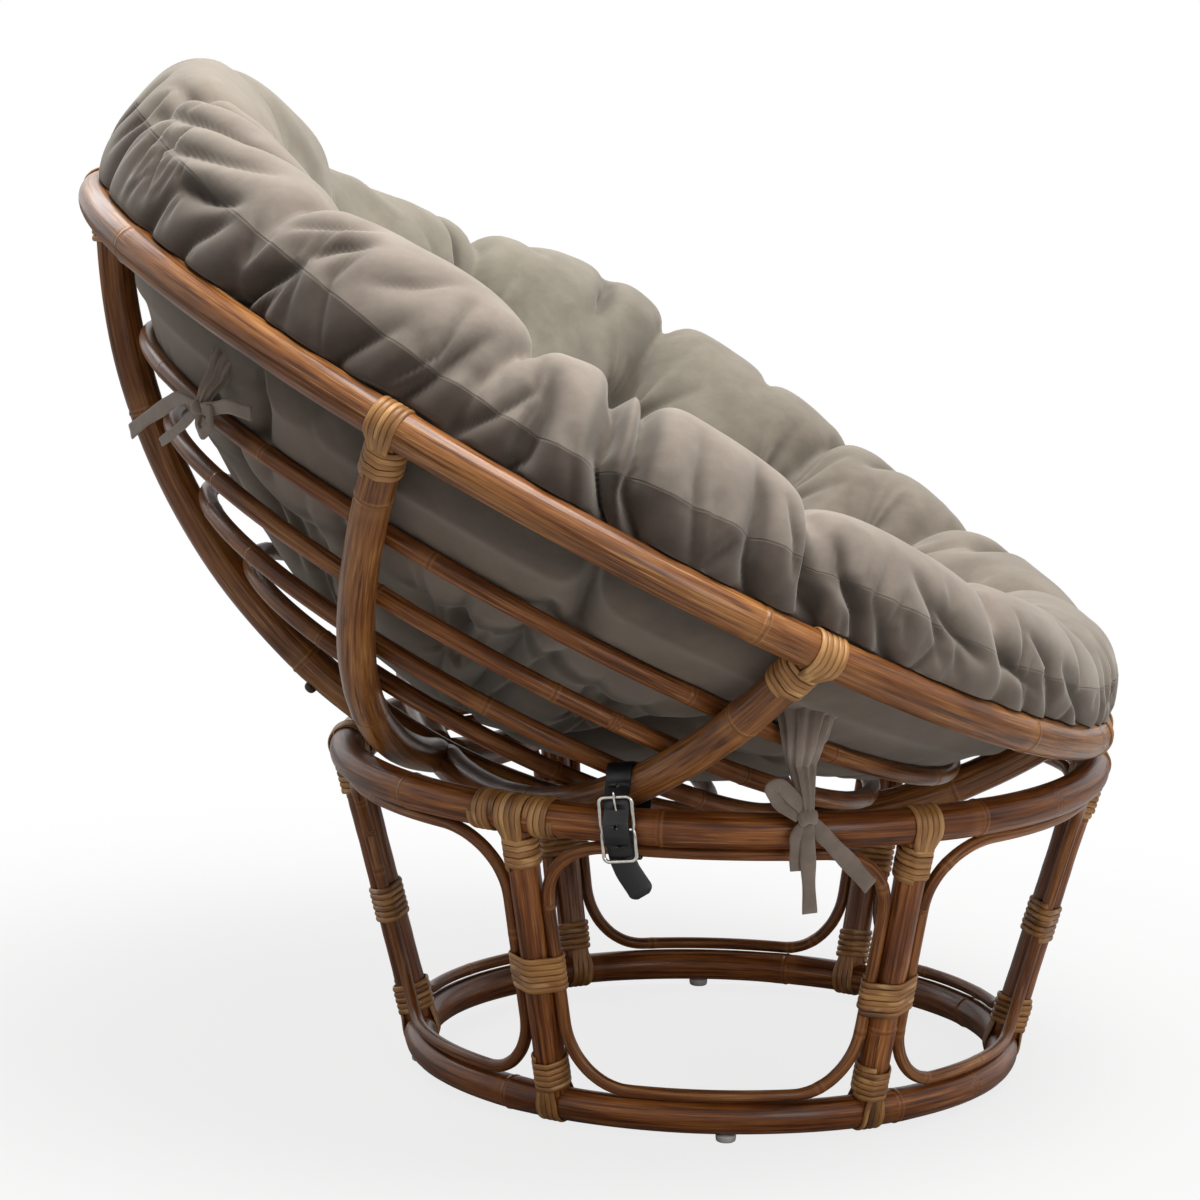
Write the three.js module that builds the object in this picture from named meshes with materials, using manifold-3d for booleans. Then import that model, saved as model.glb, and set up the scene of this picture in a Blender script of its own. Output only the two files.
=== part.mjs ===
// A round bowl chair of bent rattan poles on a ring base, with a tufted cushion.
// Millimetres, +Z up, the chair faces -Y, and the origin is on the floor under its middle.
import * as THREE from 'three';
import { mergeVertices } from 'three/addons/utils/BufferGeometryUtils.js';
import Module from 'manifold-3d';

const wasm = await Module();
wasm.setup();

const deg = Math.PI / 180;
const fullTurn = 2 * Math.PI;

// Clearance between pieces that touch
const seatGap = 0.3;
const mergeTolerance = 1e-4;

// Base: two rings, straight struts and bent rods that outline the windows
const bottomRingRadius = 281;
const bottomTubeRadius = 15.5;
const topRingRadius = 356.3;
const topTubeRadius = 16.5;
const ringRise = 280.4;
const glideRadius = 9.5;
const glideHeight = 6;
const glideAngles = [87, 172, 267, 352];
const strutRadius = 14.5;
const strutCount = 6;
const windowRodRadius = 5.9;
const windowCornerRadius = 62;
const windowRodGap = 0.6;
const waistShares = [0.45, 0.42, 0.47, 0.45, 0.46, 0.44];

// Bowl: a rim, ribs on arcs about one centre and hoops inside them
const bowlTilt = 27 * deg;
const rimRadius = 531.4;
const rimTubeRadius = 17.6;
const rimInset = 8.12;
const rimDropShare = 0.47422;
const ribRadius = 17;
const hingeLift = 8;
const frontRibAngle = 65;
const backRibAngle = 110;
const hoopRodRadius = 8.8;
const hoopAngles = [51, 42.7, 34.4, 26.5];
const rimBandAngle = 10.5;
const rimBandWidth = 9;
const rimBandThickness = 1.3;
const bumperRadius = 6;
const bumperReach = 6.6;
const bumperAngle = 13.6;

// Rattan strand that binds the joints
const strandWidth = 5.4;
const strandThickness = 2;
const strandPitch = 6.2;
const strandSink = 0.25;
const strandLap = 1.2;
const legTaper = 0.62;
const overshoot = 8 * deg;
const ribSaddleLeg = 1.3;
const strutSaddleLeg = 2.2;

// Strap and buckle
const strapWidth = 23;
const strapThickness = 2.2;
const strapClearance = 0.5;
const strapAside = 4.91 * deg;
const strapLean = 7 * deg;
const strapTail = 28;
const strapSlant = 15;
const strapHoleRadius = 2.1;
const strapHolePitch = 17.5;
const buckleWireRadius = 1.7;
const buckleRise = 29;
const buckleDrop = 28;
const buckleWidth = 33;
const buckleCorner = 5;
const bucklePinch = 1;
const barRadius = 1.5;
const prongRadius = 1.1;
const prongTip = 5.5;

// Cushion
const cushionLift = 14.5;
const cushionPuff = 14;
const cushionBulge = 30;
const cushionSeatGap = 1;
const tuftDepth = 30;
const tuftSpread = 56;
const outerTuftRadius = 345;
const innerTuftRadius = 150;

// Cloth ties
const tieHalfWidth = 8.5;
const tieHalfThickness = 1.7;
const tieKnotRadius = 10;
const tieTailLength = 85;
const tieKnotLift = 17.8;

// Sides and steps of the faceted curves
const tubeSides = 8;
const ribStep = 5.4;
const saddleSteps = 8;
const saddleHalfStep = 15.3 * deg;
const rodSides = 6;
const ringSteps = 36;

const rimDrop = rimRadius * rimDropShare;
const ribArcRadius = Math.hypot(rimRadius, rimDrop) - rimInset;
const bottomRingHeight = glideHeight + seatGap + bottomTubeRadius;
const topRingHeight = bottomRingHeight + ringRise;
const strandOut = strandThickness;
const saddleInner = (tube) => (tube + seatGap) / Math.cos(saddleHalfStep);
const ringSaddleOuter = saddleInner(topTubeRadius) + strandOut;

// Bowl placing: at the back the rib rests on the wound joint of the top ring
const arcForward = hingeLift * Math.sin(bowlTilt);
const seatRadius = ribArcRadius + ribRadius + seatGap + ringSaddleOuter;
const arcHeight = topRingHeight + Math.sqrt(seatRadius ** 2 - (topRingRadius - arcForward) ** 2);
const bowlUp = new THREE.Vector3(0, -Math.sin(bowlTilt), Math.cos(bowlTilt));
const bowlFront = new THREE.Vector3(0, -Math.cos(bowlTilt), -Math.sin(bowlTilt));
const bowlSide = new THREE.Vector3(-1, 0, 0);
const arcCentre = new THREE.Vector3(0, arcForward, arcHeight);
const hingePoint = arcCentre.clone().addScaledVector(bowlUp, hingeLift);
const rimCentre = arcCentre.clone().addScaledVector(bowlUp, -rimDrop);

// Vector helpers
const vec = (x, y, z) => new THREE.Vector3(x, y, z);
const mix = (...pairs) => {
  const sum = vec(0, 0, 0);
  pairs.forEach(([v, k]) => sum.addScaledVector(v, k));
  return sum;
};
const zUp = vec(0, 0, 1);
const vec2 = (x, y) => new THREE.Vector2(x, y);

// Directions round the base: 0 is the front, and the angle grows towards -X
const outward = (angle) => vec(-Math.sin(angle), -Math.cos(angle), 0);
const alongRing = (angle) => vec(-Math.cos(angle), Math.sin(angle), 0);
const onBase = (angle, radius, height) => outward(angle).multiplyScalar(radius).setZ(height);

// Directions in the bowl: the angle is measured the same way about the bowl's axis
const bowlOutward = (angle) => mix([bowlFront, Math.cos(angle)], [bowlSide, Math.sin(angle)]);
const bowlAlong = (angle) => mix([bowlFront, -Math.sin(angle)], [bowlSide, Math.cos(angle)]);
const inBowl = (angle, polar, radius) => arcCentre.clone()
  .addScaledVector(bowlOutward(angle), radius * Math.sin(polar))
  .addScaledVector(bowlUp, -radius * Math.cos(polar));
const onRim = (angle) => rimCentre.clone().addScaledVector(bowlOutward(angle), rimRadius);

// Closed geometry with outward faces, without texture coordinates
function tidy(geometry) {
  const bare = geometry.index ? geometry.clone() : geometry;
  ['normal', 'uv', 'color'].forEach((name) => bare.deleteAttribute(name));
  const merged = mergeVertices(bare, mergeTolerance);
  const p = merged.attributes.position;
  const index = [];
  const source = merged.index.array;
  for (let i = 0; i < source.length; i += 3) {
    const [a, b, c] = [source[i], source[i + 1], source[i + 2]];
    if (a !== b && b !== c && c !== a) index.push(a, b, c);
  }
  const [u, v, w] = [vec(0, 0, 0), vec(0, 0, 0), vec(0, 0, 0)];
  let volume = 0;
  for (let i = 0; i < index.length; i += 3) {
    u.fromBufferAttribute(p, index[i]);
    v.fromBufferAttribute(p, index[i + 1]);
    w.fromBufferAttribute(p, index[i + 2]);
    volume += u.dot(v.cross(w));
  }
  if (volume < 0) index.reverse();
  const out = new THREE.BufferGeometry();
  out.setAttribute('position', new THREE.BufferAttribute(Float32Array.from(p.array), 3));
  out.setIndex(index);
  return out;
}

function toSolid(geometry) {
  const g = tidy(geometry);
  return new wasm.Manifold(new wasm.Mesh({
    numProp: 3,
    vertProperties: Float32Array.from(g.attributes.position.array),
    triVerts: Uint32Array.from(g.index.array),
  }));
}

function fromSolid(solid) {
  const mesh = solid.getMesh();
  const out = new THREE.BufferGeometry();
  out.setAttribute('position', new THREE.BufferAttribute(Float32Array.from(mesh.vertProperties), 3));
  out.setIndex(Array.from(mesh.triVerts));
  return out;
}

const joined = (geometries) => fromSolid(
  geometries.map(toSolid).reduce((sum, solid) => sum.add(solid)),
);
const cutBy = (geometry, cutters) => fromSolid(
  cutters.map(toSolid).reduce((left, cutter) => left.subtract(cutter), toSolid(geometry)),
);

// A closed skin swept over frames: each frame has a place and two directions for the outline
function sweep(givenOutline, frames, closed = false) {
  const flat = givenOutline.map(([a, b]) => new THREE.Vector2(a, b));
  const outline = THREE.ShapeUtils.isClockWise(flat) ? [...givenOutline].reverse() : givenOutline;
  const positions = [];
  frames.forEach(({ at, across, out, wide = 1, grow = 1 }) => {
    outline.forEach(([a, b]) => {
      positions.push(...mix([at, 1], [across, a * wide], [out, b * grow]).toArray());
    });
  });
  const index = [];
  const n = outline.length;
  const spans = closed ? frames.length : frames.length - 1;
  for (let i = 0; i < spans; i += 1) {
    for (let j = 0; j < n; j += 1) {
      const [a, b] = [i * n + j, i * n + ((j + 1) % n)];
      const next = (i + 1) % frames.length;
      const [c, d] = [next * n + j, next * n + ((j + 1) % n)];
      index.push(a, b, c, b, d, c);
    }
  }
  if (!closed) {
    const shape = outline.map(([a, b]) => new THREE.Vector2(a, b));
    const last = (frames.length - 1) * n;
    THREE.ShapeUtils.triangulateShape(shape, []).forEach(([a, b, c]) => {
      index.push(a, c, b, last + a, last + b, last + c);
    });
  }
  const g = new THREE.BufferGeometry();
  g.setAttribute('position', new THREE.BufferAttribute(new Float32Array(positions), 3));
  g.setIndex(index);
  return g;
}

function straightRod(from, to, radius, sides) {
  const length = from.distanceTo(to);
  const g = new THREE.CylinderGeometry(radius, radius, length, sides);
  const turn = new THREE.Quaternion().setFromUnitVectors(
    vec(0, 1, 0),
    to.clone().sub(from).normalize(),
  );
  g.applyQuaternion(turn);
  const middle = from.clone().lerp(to, 0.5);
  g.translate(middle.x, middle.y, middle.z);
  return g;
}

// Rings of the base
function baseRing(radius, tube, height) {
  const g = new THREE.TorusGeometry(radius, tube, tubeSides, ringSteps);
  g.rotateZ(Math.PI / ringSteps + Math.PI / 2);
  g.translate(0, 0, height);
  return g;
}

const topRing = (extra = 0) => baseRing(topRingRadius, topTubeRadius + extra, topRingHeight);
const bottomRing = (extra = 0) => baseRing(bottomRingRadius, bottomTubeRadius + extra, bottomRingHeight);
const ringMidShare = Math.cos(Math.PI / ringSteps);

// Section with its first corner turned by a given angle
const evenDirections = (count, start = 0) => Array.from(
  { length: count },
  (_, i) => start + (i * fullTurn) / count,
);
const circlePoints = (radius, sides, x = 0, y = 0, start = 0) => evenDirections(sides, start).map(
  (a) => [x + radius * Math.cos(a), y + radius * Math.sin(a)],
);

// Directions round the bowl where its ribs stand, and steps between them
const ribDirections = [0, frontRibAngle, backRibAngle, 180, 360 - backRibAngle, 360 - frontRibAngle];
function bowlSteps(counts, margin = 0) {
  const out = [];
  ribDirections.forEach((from, i) => {
    const to = ribDirections[i + 1] ?? 360;
    const count = counts[i];
    if (margin > 0) out.push(from - margin);
    const [start, end] = [from + margin, to - margin];
    for (let k = 0; k < count; k += 1) out.push(start + ((end - start) * k) / count);
  });
  return out.map((a) => a * deg);
}

function bowlRing(radius, tube, drop, sides, start, steps) {
  const centre = arcCentre.clone().addScaledVector(bowlUp, -drop);
  const sphere = Math.hypot(radius, drop);
  const frames = steps.map((a) => {
    const across = mix([bowlOutward(a), drop / sphere], [bowlUp, radius / sphere]);
    const out = mix([bowlOutward(a), radius / sphere], [bowlUp, -drop / sphere]);
    return { at: centre.clone().addScaledVector(bowlOutward(a), radius), across, out };
  });
  return sweep(circlePoints(tube, sides, 0, 0, start), frames, true);
}

const ribMargin = 3.2;
const rimSteps = bowlSteps([8, 5, 9, 9, 5, 8], ribMargin);
const rimMidShare = Math.cos(ribMargin * deg);
const rim = (extra = 0) => bowlRing(rimRadius, rimTubeRadius + extra, rimDrop, tubeSides, 0, rimSteps);

// The base's slanting side: a share of 0 is the bottom ring and 1 the top ring
const sideLength = Math.hypot(ringRise, topRingRadius - bottomRingRadius);
const sideLean = Math.atan2(topRingRadius - bottomRingRadius, ringRise);
const onSide = (angle, along, off = 0) => onBase(
  angle,
  bottomRingRadius + along * Math.sin(sideLean) + off * Math.cos(sideLean),
  bottomRingHeight + along * Math.cos(sideLean) - off * Math.sin(sideLean),
);
const sideUp = (angle) => mix([outward(angle), Math.sin(sideLean)], [zUp, Math.cos(sideLean)]);
const sideOut = (angle) => mix([outward(angle), Math.cos(sideLean)], [zUp, -Math.sin(sideLean)]);
const sideRadius = (along) => bottomRingRadius + along * Math.sin(sideLean);

function strut(angle) {
  const low = onSide(angle, bottomTubeRadius / 2);
  const high = onSide(angle, sideLength - topTubeRadius / 2);
  const rod = straightRod(low, high, strutRadius, tubeSides);
  return cutBy(rod, [topRing(seatGap), bottomRing(seatGap)]);
}

// Window rod: a closed bent rod that follows both rings and the two struts beside it
const windowLow = bottomTubeRadius + windowRodGap + windowRodRadius;
const windowHigh = sideLength - topTubeRadius - windowRodGap - windowRodRadius;
const windowSideOff = strutRadius + seatGap + windowRodRadius;
const windowHalfAt = (along) => sideRadius(along) * (Math.PI / strutCount) - windowSideOff;

function windowPoints() {
  const halfWidth = windowHalfAt((windowLow + windowHigh) / 2);
  const halfHeight = (windowHigh - windowLow) / 2;
  const r = windowCornerRadius;
  const corner = 3;
  const sidePieces = [4, 2, 4, 2];
  const turns = [[1, 1], [-1, 1], [-1, -1], [1, -1]];
  const points = [];
  turns.forEach(([sx, sy], k) => {
    for (let i = 0; i <= corner; i += 1) {
      const a = (k + i / corner) * (Math.PI / 2);
      points.push([
        sx * (halfWidth - r) + r * Math.cos(a),
        sy * (halfHeight - r) + r * Math.sin(a),
      ]);
    }
    const [from] = points.slice(-1);
    const [nx, ny] = turns[(k + 1) % turns.length];
    const a = (k + 1) * (Math.PI / 2);
    const to = [nx * (halfWidth - r) + r * Math.cos(a), ny * (halfHeight - r) + r * Math.sin(a)];
    for (let i = 1; i < sidePieces[k]; i += 1) {
      const s = i / sidePieces[k];
      points.push([from[0] + (to[0] - from[0]) * s, from[1] + (to[1] - from[1]) * s]);
    }
  });
  return points.map(([x, y]) => {
    const along = y + (windowLow + windowHigh) / 2;
    return [(x / halfWidth) * windowHalfAt(along), along];
  });
}

function windowRod(middleAngle) {
  const flat = windowPoints();
  const spots = flat.map(([across, along]) => {
    const angle = middleAngle + across / sideRadius(along);
    return { at: onSide(angle, along), out: sideOut(angle) };
  });
  const frames = spots.map(({ at, out }, i) => {
    const before = spots[(i + spots.length - 1) % spots.length].at;
    const after = spots[(i + 1) % spots.length].at;
    const across = after.clone().sub(before).normalize().cross(out).normalize();
    return { at, out, across };
  });
  return sweep(circlePoints(windowRodRadius, rodSides), frames, true);
}

// Glide: a round plastic disc under the bottom ring
function glide(angle) {
  const g = new THREE.CylinderGeometry(glideRadius, glideRadius * 0.86, glideHeight, 10);
  g.rotateX(Math.PI / 2);
  const p = onBase(angle, bottomRingRadius, glideHeight / 2);
  g.translate(p.x, p.y, p.z);
  return g;
}

// Ribs of the bowl
const ribEndPolar = Math.atan2(rimRadius, rimDrop) - (rimTubeRadius * 0.5) / ribArcRadius;
const rimPolar = Math.atan2(rimRadius, rimDrop);
const bowlRadial = (angle, polar) => mix(
  [bowlOutward(angle), Math.sin(polar)],
  [bowlUp, -Math.cos(polar)],
);

// Steps along a rib: a step falls on every hoop
function ribPolars(longest) {
  const marks = [ribEndPolar / deg, ...hoopAngles, 0];
  const out = [];
  for (let i = 0; i + 1 < marks.length; i += 1) {
    const count = Math.ceil((marks[i] - marks[i + 1]) / longest);
    for (let k = 0; k < count; k += 1) out.push(marks[i] + ((marks[i + 1] - marks[i]) * k) / count);
  }
  return out.map((a) => a * deg);
}

function ribFrom(angle, polars, radius = ribRadius) {
  const frames = polars.map((polar) => ({
    at: inBowl(angle, polar, ribArcRadius),
    across: bowlAlong(angle),
    out: bowlRadial(angle, polar),
  }));
  return sweep(circlePoints(radius, tubeSides), frames);
}

function centreBlank(radius = ribRadius) {
  const half = ribPolars(ribStep);
  const polars = [...half, 0, ...[...half].reverse().map((a) => -a)];
  return ribFrom(0, polars, radius);
}

const centrePole = () => cutBy(centreBlank(), [rim(seatGap)]);

// Soft bumper under the back of the centre pole
function bumper() {
  const polar = bumperAngle * deg;
  const skin = ribArcRadius + ribRadius + seatGap;
  const profile = [0, 0.35, 0.7, 1].map((share) => new THREE.Vector2(
    bumperRadius * Math.cos(share * share * 80 * deg),
    bumperReach * share,
  ));
  const g = new THREE.LatheGeometry([vec2(0, 0), ...profile, vec2(0, bumperReach)], tubeSides);
  const turn = new THREE.Quaternion().setFromUnitVectors(vec(0, 1, 0), bowlRadial(Math.PI, polar));
  g.applyQuaternion(turn);
  const at = inBowl(Math.PI, polar, skin);
  g.translate(at.x, at.y, at.z);
  return g;
}

// A flat block that takes away all that lies past a plane through the bowl's axis
function pastPlane(angle, side) {
  const reach = ribRadius * 8;
  const g = new THREE.BoxGeometry(reach, reach, reach);
  const normal = bowlAlong(angle).multiplyScalar(side);
  const flatSide = bowlOutward(angle).multiplyScalar(side);
  g.applyMatrix4(new THREE.Matrix4().makeBasis(normal, bowlUp, flatSide));
  const at = inBowl(0, 0, ribArcRadius).addScaledVector(normal, reach / 2 - seatGap / 2);
  g.translate(at.x, at.y, at.z);
  return g;
}

function sideRib(angle, mitreAngle, side) {
  return cutBy(ribFrom(angle, [...ribPolars(ribStep), 0]), [
    rim(seatGap),
    centreBlank(ribRadius + seatGap / Math.cos(Math.PI / tubeSides)),
    pastPlane(mitreAngle, side),
  ]);
}

// Hoops lie inside the ribs
const hoopArcRadius = ribArcRadius - ribRadius - seatGap - hoopRodRadius;
const hoop = (polar, counts) => bowlRing(
  hoopArcRadius * Math.sin(polar),
  hoopRodRadius,
  hoopArcRadius * Math.cos(polar),
  rodSides,
  fullTurn / rodSides / 2,
  bowlSteps(counts),
);

// Outline that goes round points in a plane, from the lines that just touch them
function aroundPoints(points, directions, clearance) {
  const lines = directions.map((a) => {
    const [x, y] = [Math.cos(a), Math.sin(a)];
    const far = Math.max(...points.map(([u, v]) => u * x + v * y));
    return { x, y, far: far + clearance };
  });
  return lines.map((l, i) => {
    const m = lines[(i + 1) % lines.length];
    const cross = l.x * m.y - l.y * m.x;
    return [(l.far * m.y - m.far * l.y) / cross, (m.far * l.x - l.far * m.x) / cross];
  });
}

// Section of the strand: flat inside and rounded outside
const strandSection = [
  [-strandWidth / 2, 0],
  [strandWidth / 2, 0],
  [strandWidth * 0.36, strandOut],
  [-strandWidth * 0.36, strandOut],
];

// The strand wound round an outline while it moves along a carrier.
// carrier(u) gives a place and three directions: x and y across, and z along.
function wind(outline, carrier, start, turns, pitch, section = strandSection) {
  const n = outline.length;
  const count = Math.round(turns * n);
  const spots = Array.from({ length: count + 1 }, (_, k) => {
    const [x, y] = outline[((k % n) + n) % n];
    const f = carrier(start + (k / n) * pitch);
    const at = mix([f.at, 1], [f.x, x], [f.y, y]);
    return { at, f, flat: new THREE.Vector2(x, y) };
  });
  const frames = spots.map(({ at, f }, k) => {
    const before = spots[Math.max(0, k - 1)].at;
    const after = spots[Math.min(count, k + 1)].at;
    const tangent = after.clone().sub(before).normalize();
    const prev = outline[(((k - 1) % n) + n) % n];
    const next = outline[(k + 1) % n];
    const here = outline[k % n];
    const one = new THREE.Vector2(here[1] - prev[1], prev[0] - here[0]).normalize();
    const two = new THREE.Vector2(next[1] - here[1], here[0] - next[0]).normalize();
    const bisector = one.clone().add(two).normalize();
    const grow = 1 / Math.max(0.5, bisector.dot(two));
    const out = mix([f.x, bisector.x], [f.y, bisector.y]);
    const across = tangent.clone().cross(out).normalize();
    if (across.dot(f.z) < 0) across.negate();
    return { at, across, out, grow };
  });
  checkSelfGap(frames, section, n);
  return sweep(section, frames, false);
}

// Least gap between a turn and the one beside it, measured on the strand's edge points
let smallestGap = Infinity;
function checkSelfGap(frames, section, perTurn) {
  const widest = Math.max(...section.map(([a]) => a));
  for (let i = 0; i + perTurn < frames.length; i += 1) {
    const one = mix([frames[i].at, 1], [frames[i].across, widest]);
    const two = mix([frames[i + perTurn].at, 1], [frames[i + perTurn].across, -widest]);
    smallestGap = Math.min(smallestGap, one.distanceTo(two));
  }
}

// A saddle: strands laid side by side over a ring, with legs down both faces of a pole.
// The joint's u runs from the ring's centre along the pole, v across it and w along the ring.
function saddle(joint, tube, pole, legEnd, legOut, strands, plain) {
  const inner = saddleInner(tube);
  const frames = [];
  const add = (u, v, nu, nv, grow, wide) => frames.push({
    at: mix([joint.at, 1], [joint.u, u], [joint.v, v]),
    out: mix([joint.u, nu], [joint.v, nv]).normalize(),
    across: joint.w,
    grow,
    wide,
  });
  const legGrow = legOut / strandOut;
  const legs = [1, -1].map((sign) => {
    const v = joint.shift + sign * (pole + seatGap);
    const over = Math.abs(v) > inner;
    return { v, over, past: over ? -overshoot : Math.acos(Math.abs(v) / inner) };
  });
  const start = Math.PI / 2 - legs[0].past;
  const end = (Math.PI * 3) / 2 + legs[1].past;
  const bend = -(legEnd ** 2) / (2 * joint.curve);
  add(legEnd, legs[0].v + bend, 0, 1, legGrow, legTaper);
  for (let i = 0; i <= saddleSteps; i += 1) {
    const a = start + ((end - start) * i) / saddleSteps;
    add(inner * Math.cos(a), inner * Math.sin(a), Math.cos(a), Math.sin(a), 1, 1);
  }
  if (legs[1].over) add(joint.end - seatGap * 4, legs[1].v - seatGap, -1, -2, 1, 1);
  add(legEnd, legs[1].v + bend - joint.drop, 0, -1, legGrow, legTaper);
  const half = (strands * strandPitch) / 2;
  const outline = [[-half, 0], [half, 0]];
  if (plain) {
    outline.push([half, strandOut], [-half, strandOut]);
  } else {
    for (let i = strands - 1; i >= 0; i -= 1) {
      const middle = (i + 0.5) * strandPitch - half;
      outline.push([middle + strandPitch / 2, strandOut * 0.5]);
      outline.push([middle, strandOut]);
    }
    outline.push([-half, strandOut * 0.5]);
  }
  return sweep(outline, frames);
}

// The joint's frame at a base ring: u along the strut, v outward, w along the ring
function strutJoint(angle, atTop) {
  const [radius, height] = atTop ? [topRingRadius, topRingHeight] : [bottomRingRadius, bottomRingHeight];
  return {
    at: onBase(angle, radius * ringMidShare, height),
    u: sideUp(angle).multiplyScalar(atTop ? -1 : 1),
    v: sideOut(angle),
    w: alongRing(angle),
    shift: radius * (1 - ringMidShare) * Math.cos(sideLean),
    curve: Infinity,
    end: 0,
    drop: 0,
  };
}

const neckOutline = (pole, legOut, width) => {
  const corners = [];
  [-1, 1].forEach((sy) => [-1, 1].forEach((sx) => {
    corners.push([(sx * width * legTaper) / 2, sy * (pole + seatGap + legOut - strandSink * 2)]);
  }));
  return aroundPoints(
    [...circlePoints(pole + seatGap, 24), ...corners],
    evenDirections(tubeSides),
    0,
  );
};

// A sleeve of even wall, for turns that are seen from afar
function sleeve(outline, carrier, start, length, wall) {
  const n = outline.length;
  const ringAt = (u, scale) => {
    const f = carrier(u);
    return outline.map(([x, y]) => {
      const r = Math.hypot(x, y);
      const k = (r + scale) / r;
      return mix([f.at, 1], [f.x, x * k], [f.y, y * k]);
    });
  };
  const rings = [ringAt(start, 0), ringAt(start, wall), ringAt(start + length, wall), ringAt(start + length, 0)];
  const positions = rings.flat().flatMap((p) => p.toArray());
  const index = [];
  rings.forEach((_, k) => {
    const next = (k + 1) % rings.length;
    for (let j = 0; j < n; j += 1) {
      const [a, b] = [k * n + j, k * n + ((j + 1) % n)];
      const [c, d] = [next * n + j, next * n + ((j + 1) % n)];
      index.push(a, b, c, b, d, c);
    }
  });
  const g = new THREE.BufferGeometry();
  g.setAttribute('position', new THREE.BufferAttribute(new Float32Array(positions), 3));
  g.setIndex(index);
  return g;
}

// Where the neck of a binding starts, and where the saddle's legs end under it
const neckStart = (tube) => tube + seatGap * 2 + strandWidth / 2 + strandThickness * 1.2;
const neckLength = (turns) => turns * strandPitch + strandWidth;
const legReach = strandPitch * 0.7;

function neck(outline, carrier, start, turns, plain) {
  if (plain) return sleeve(outline, carrier, start - strandWidth / 2, neckLength(turns), strandOut);
  return wind(outline, carrier, start, turns, strandPitch);
}

// Binding of a strut to a base ring
function strutBinding(angle, atTop, strands, turns, plain, ringTurns = 0) {
  const joint = strutJoint(angle, atTop);
  const tube = atTop ? topTubeRadius : bottomTubeRadius;
  const start = neckStart(tube);
  const carrier = (u) => ({
    at: mix([joint.at, 1], [joint.u, u], [joint.v, joint.shift]),
    x: joint.w,
    y: joint.v,
    z: joint.u,
  });
  const outline = neckOutline(strutRadius, strutSaddleLeg, strands * strandPitch);
  const parts = [
    saddle(joint, tube, strutRadius, start + legReach, strutSaddleLeg, strands, plain || !atTop),
    neck(outline, carrier, start, turns, plain),
  ];
  if (ringTurns > 0) {
    [-1, 1].forEach((side) => parts.push(ringWinding(angle, side, strands, ringTurns)));
  }
  return joined(parts);
}

// Turns of the same strand round the top ring, beside the saddle
function ringWinding(angle, side, strands, turns) {
  const flatPart = topRingRadius * Math.sin(Math.PI / ringSteps);
  const carrier = (u) => {
    const a = angle + (side * u) / topRingRadius;
    const radius = u < flatPart ? (topRingRadius * ringMidShare) / Math.cos(a - angle) : topRingRadius;
    return {
      at: onBase(a, radius, topRingHeight),
      x: outward(a),
      y: zUp,
      z: alongRing(a).multiplyScalar(side),
    };
  };
  const outline = aroundPoints(
    circlePoints(topTubeRadius + seatGap, tubeSides * 3),
    evenDirections(tubeSides, fullTurn / tubeSides / 2),
    0,
  );
  const start = (strands * strandPitch) / 2 + strandWidth / 2 - strandLap;
  return wind(outline, carrier, start, turns, strandPitch);
}

// Binding of a strut to the window rods that run along it
function waistBinding(angle, share, turns, plain) {
  const fallBack = windowSideOff ** 2 / (2 * sideRadius(share * sideLength));
  const shape = [
    ...circlePoints(strutRadius + seatGap, 24),
    ...circlePoints(windowRodRadius + seatGap, 12, windowSideOff, -fallBack),
    ...circlePoints(windowRodRadius + seatGap, 12, -windowSideOff, -fallBack),
  ];
  const directions = [-65, -25, 25, 65, 90, 115, 155, 205, 245, 270].map((a) => a * deg);
  const outline = aroundPoints(shape, directions, seatGap);
  const carrier = (u) => ({
    at: onSide(angle, share * sideLength + u),
    x: alongRing(angle),
    y: sideOut(angle),
    z: sideUp(angle),
  });
  return neck(outline, carrier, (-turns * strandPitch) / 2, turns, plain);
}

// Binding of a rib to the rim
function ribBinding(angle, strands, turns, plain) {
  const shift = Math.hypot(rimRadius, rimDrop) - ribArcRadius;
  const down = (polar) => mix([bowlOutward(angle), -Math.cos(polar)], [bowlUp, -Math.sin(polar)]);
  const rimHere = rimCentre.clone().addScaledVector(bowlOutward(angle), rimRadius * rimMidShare);
  const inward = rimRadius * (1 - rimMidShare) * Math.sin(rimPolar);
  const joint = {
    at: rimHere,
    u: down(rimPolar),
    v: bowlRadial(angle, rimPolar),
    w: bowlAlong(angle),
    shift: inward - shift,
    curve: ribArcRadius,
    end: rimTubeRadius / 2,
    drop: ribArcRadius * (1 - Math.cos((ribStep / 2) * deg)),
  };
  const start = neckStart(rimTubeRadius);
  const carrier = (u) => {
    const polar = rimPolar - u / ribArcRadius;
    return {
      at: inBowl(angle, polar, ribArcRadius),
      x: bowlAlong(angle),
      y: bowlRadial(angle, polar),
      z: down(polar),
    };
  };
  const outline = neckOutline(ribRadius, ribSaddleLeg, strands * strandPitch);
  return joined([
    saddle(joint, rimTubeRadius, ribRadius, start + legReach, ribSaddleLeg, strands, plain),
    neck(outline, carrier, start, turns, plain),
  ]);
}

// Single band over the joint in the rim
function rimBand() {
  const a = rimBandAngle * deg;
  const carrier = (u) => {
    const b = a + u / rimRadius;
    return { at: onRim(b), x: bowlOutward(b), y: bowlUp, z: bowlAlong(b) };
  };
  const outline = aroundPoints(
    circlePoints(rimTubeRadius + seatGap * 2, tubeSides * 3),
    evenDirections(tubeSides * 2, fullTurn / tubeSides / 4),
    0,
  );
  return sleeve(outline, carrier, -rimBandWidth / 2, rimBandWidth, rimBandThickness);
}

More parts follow.
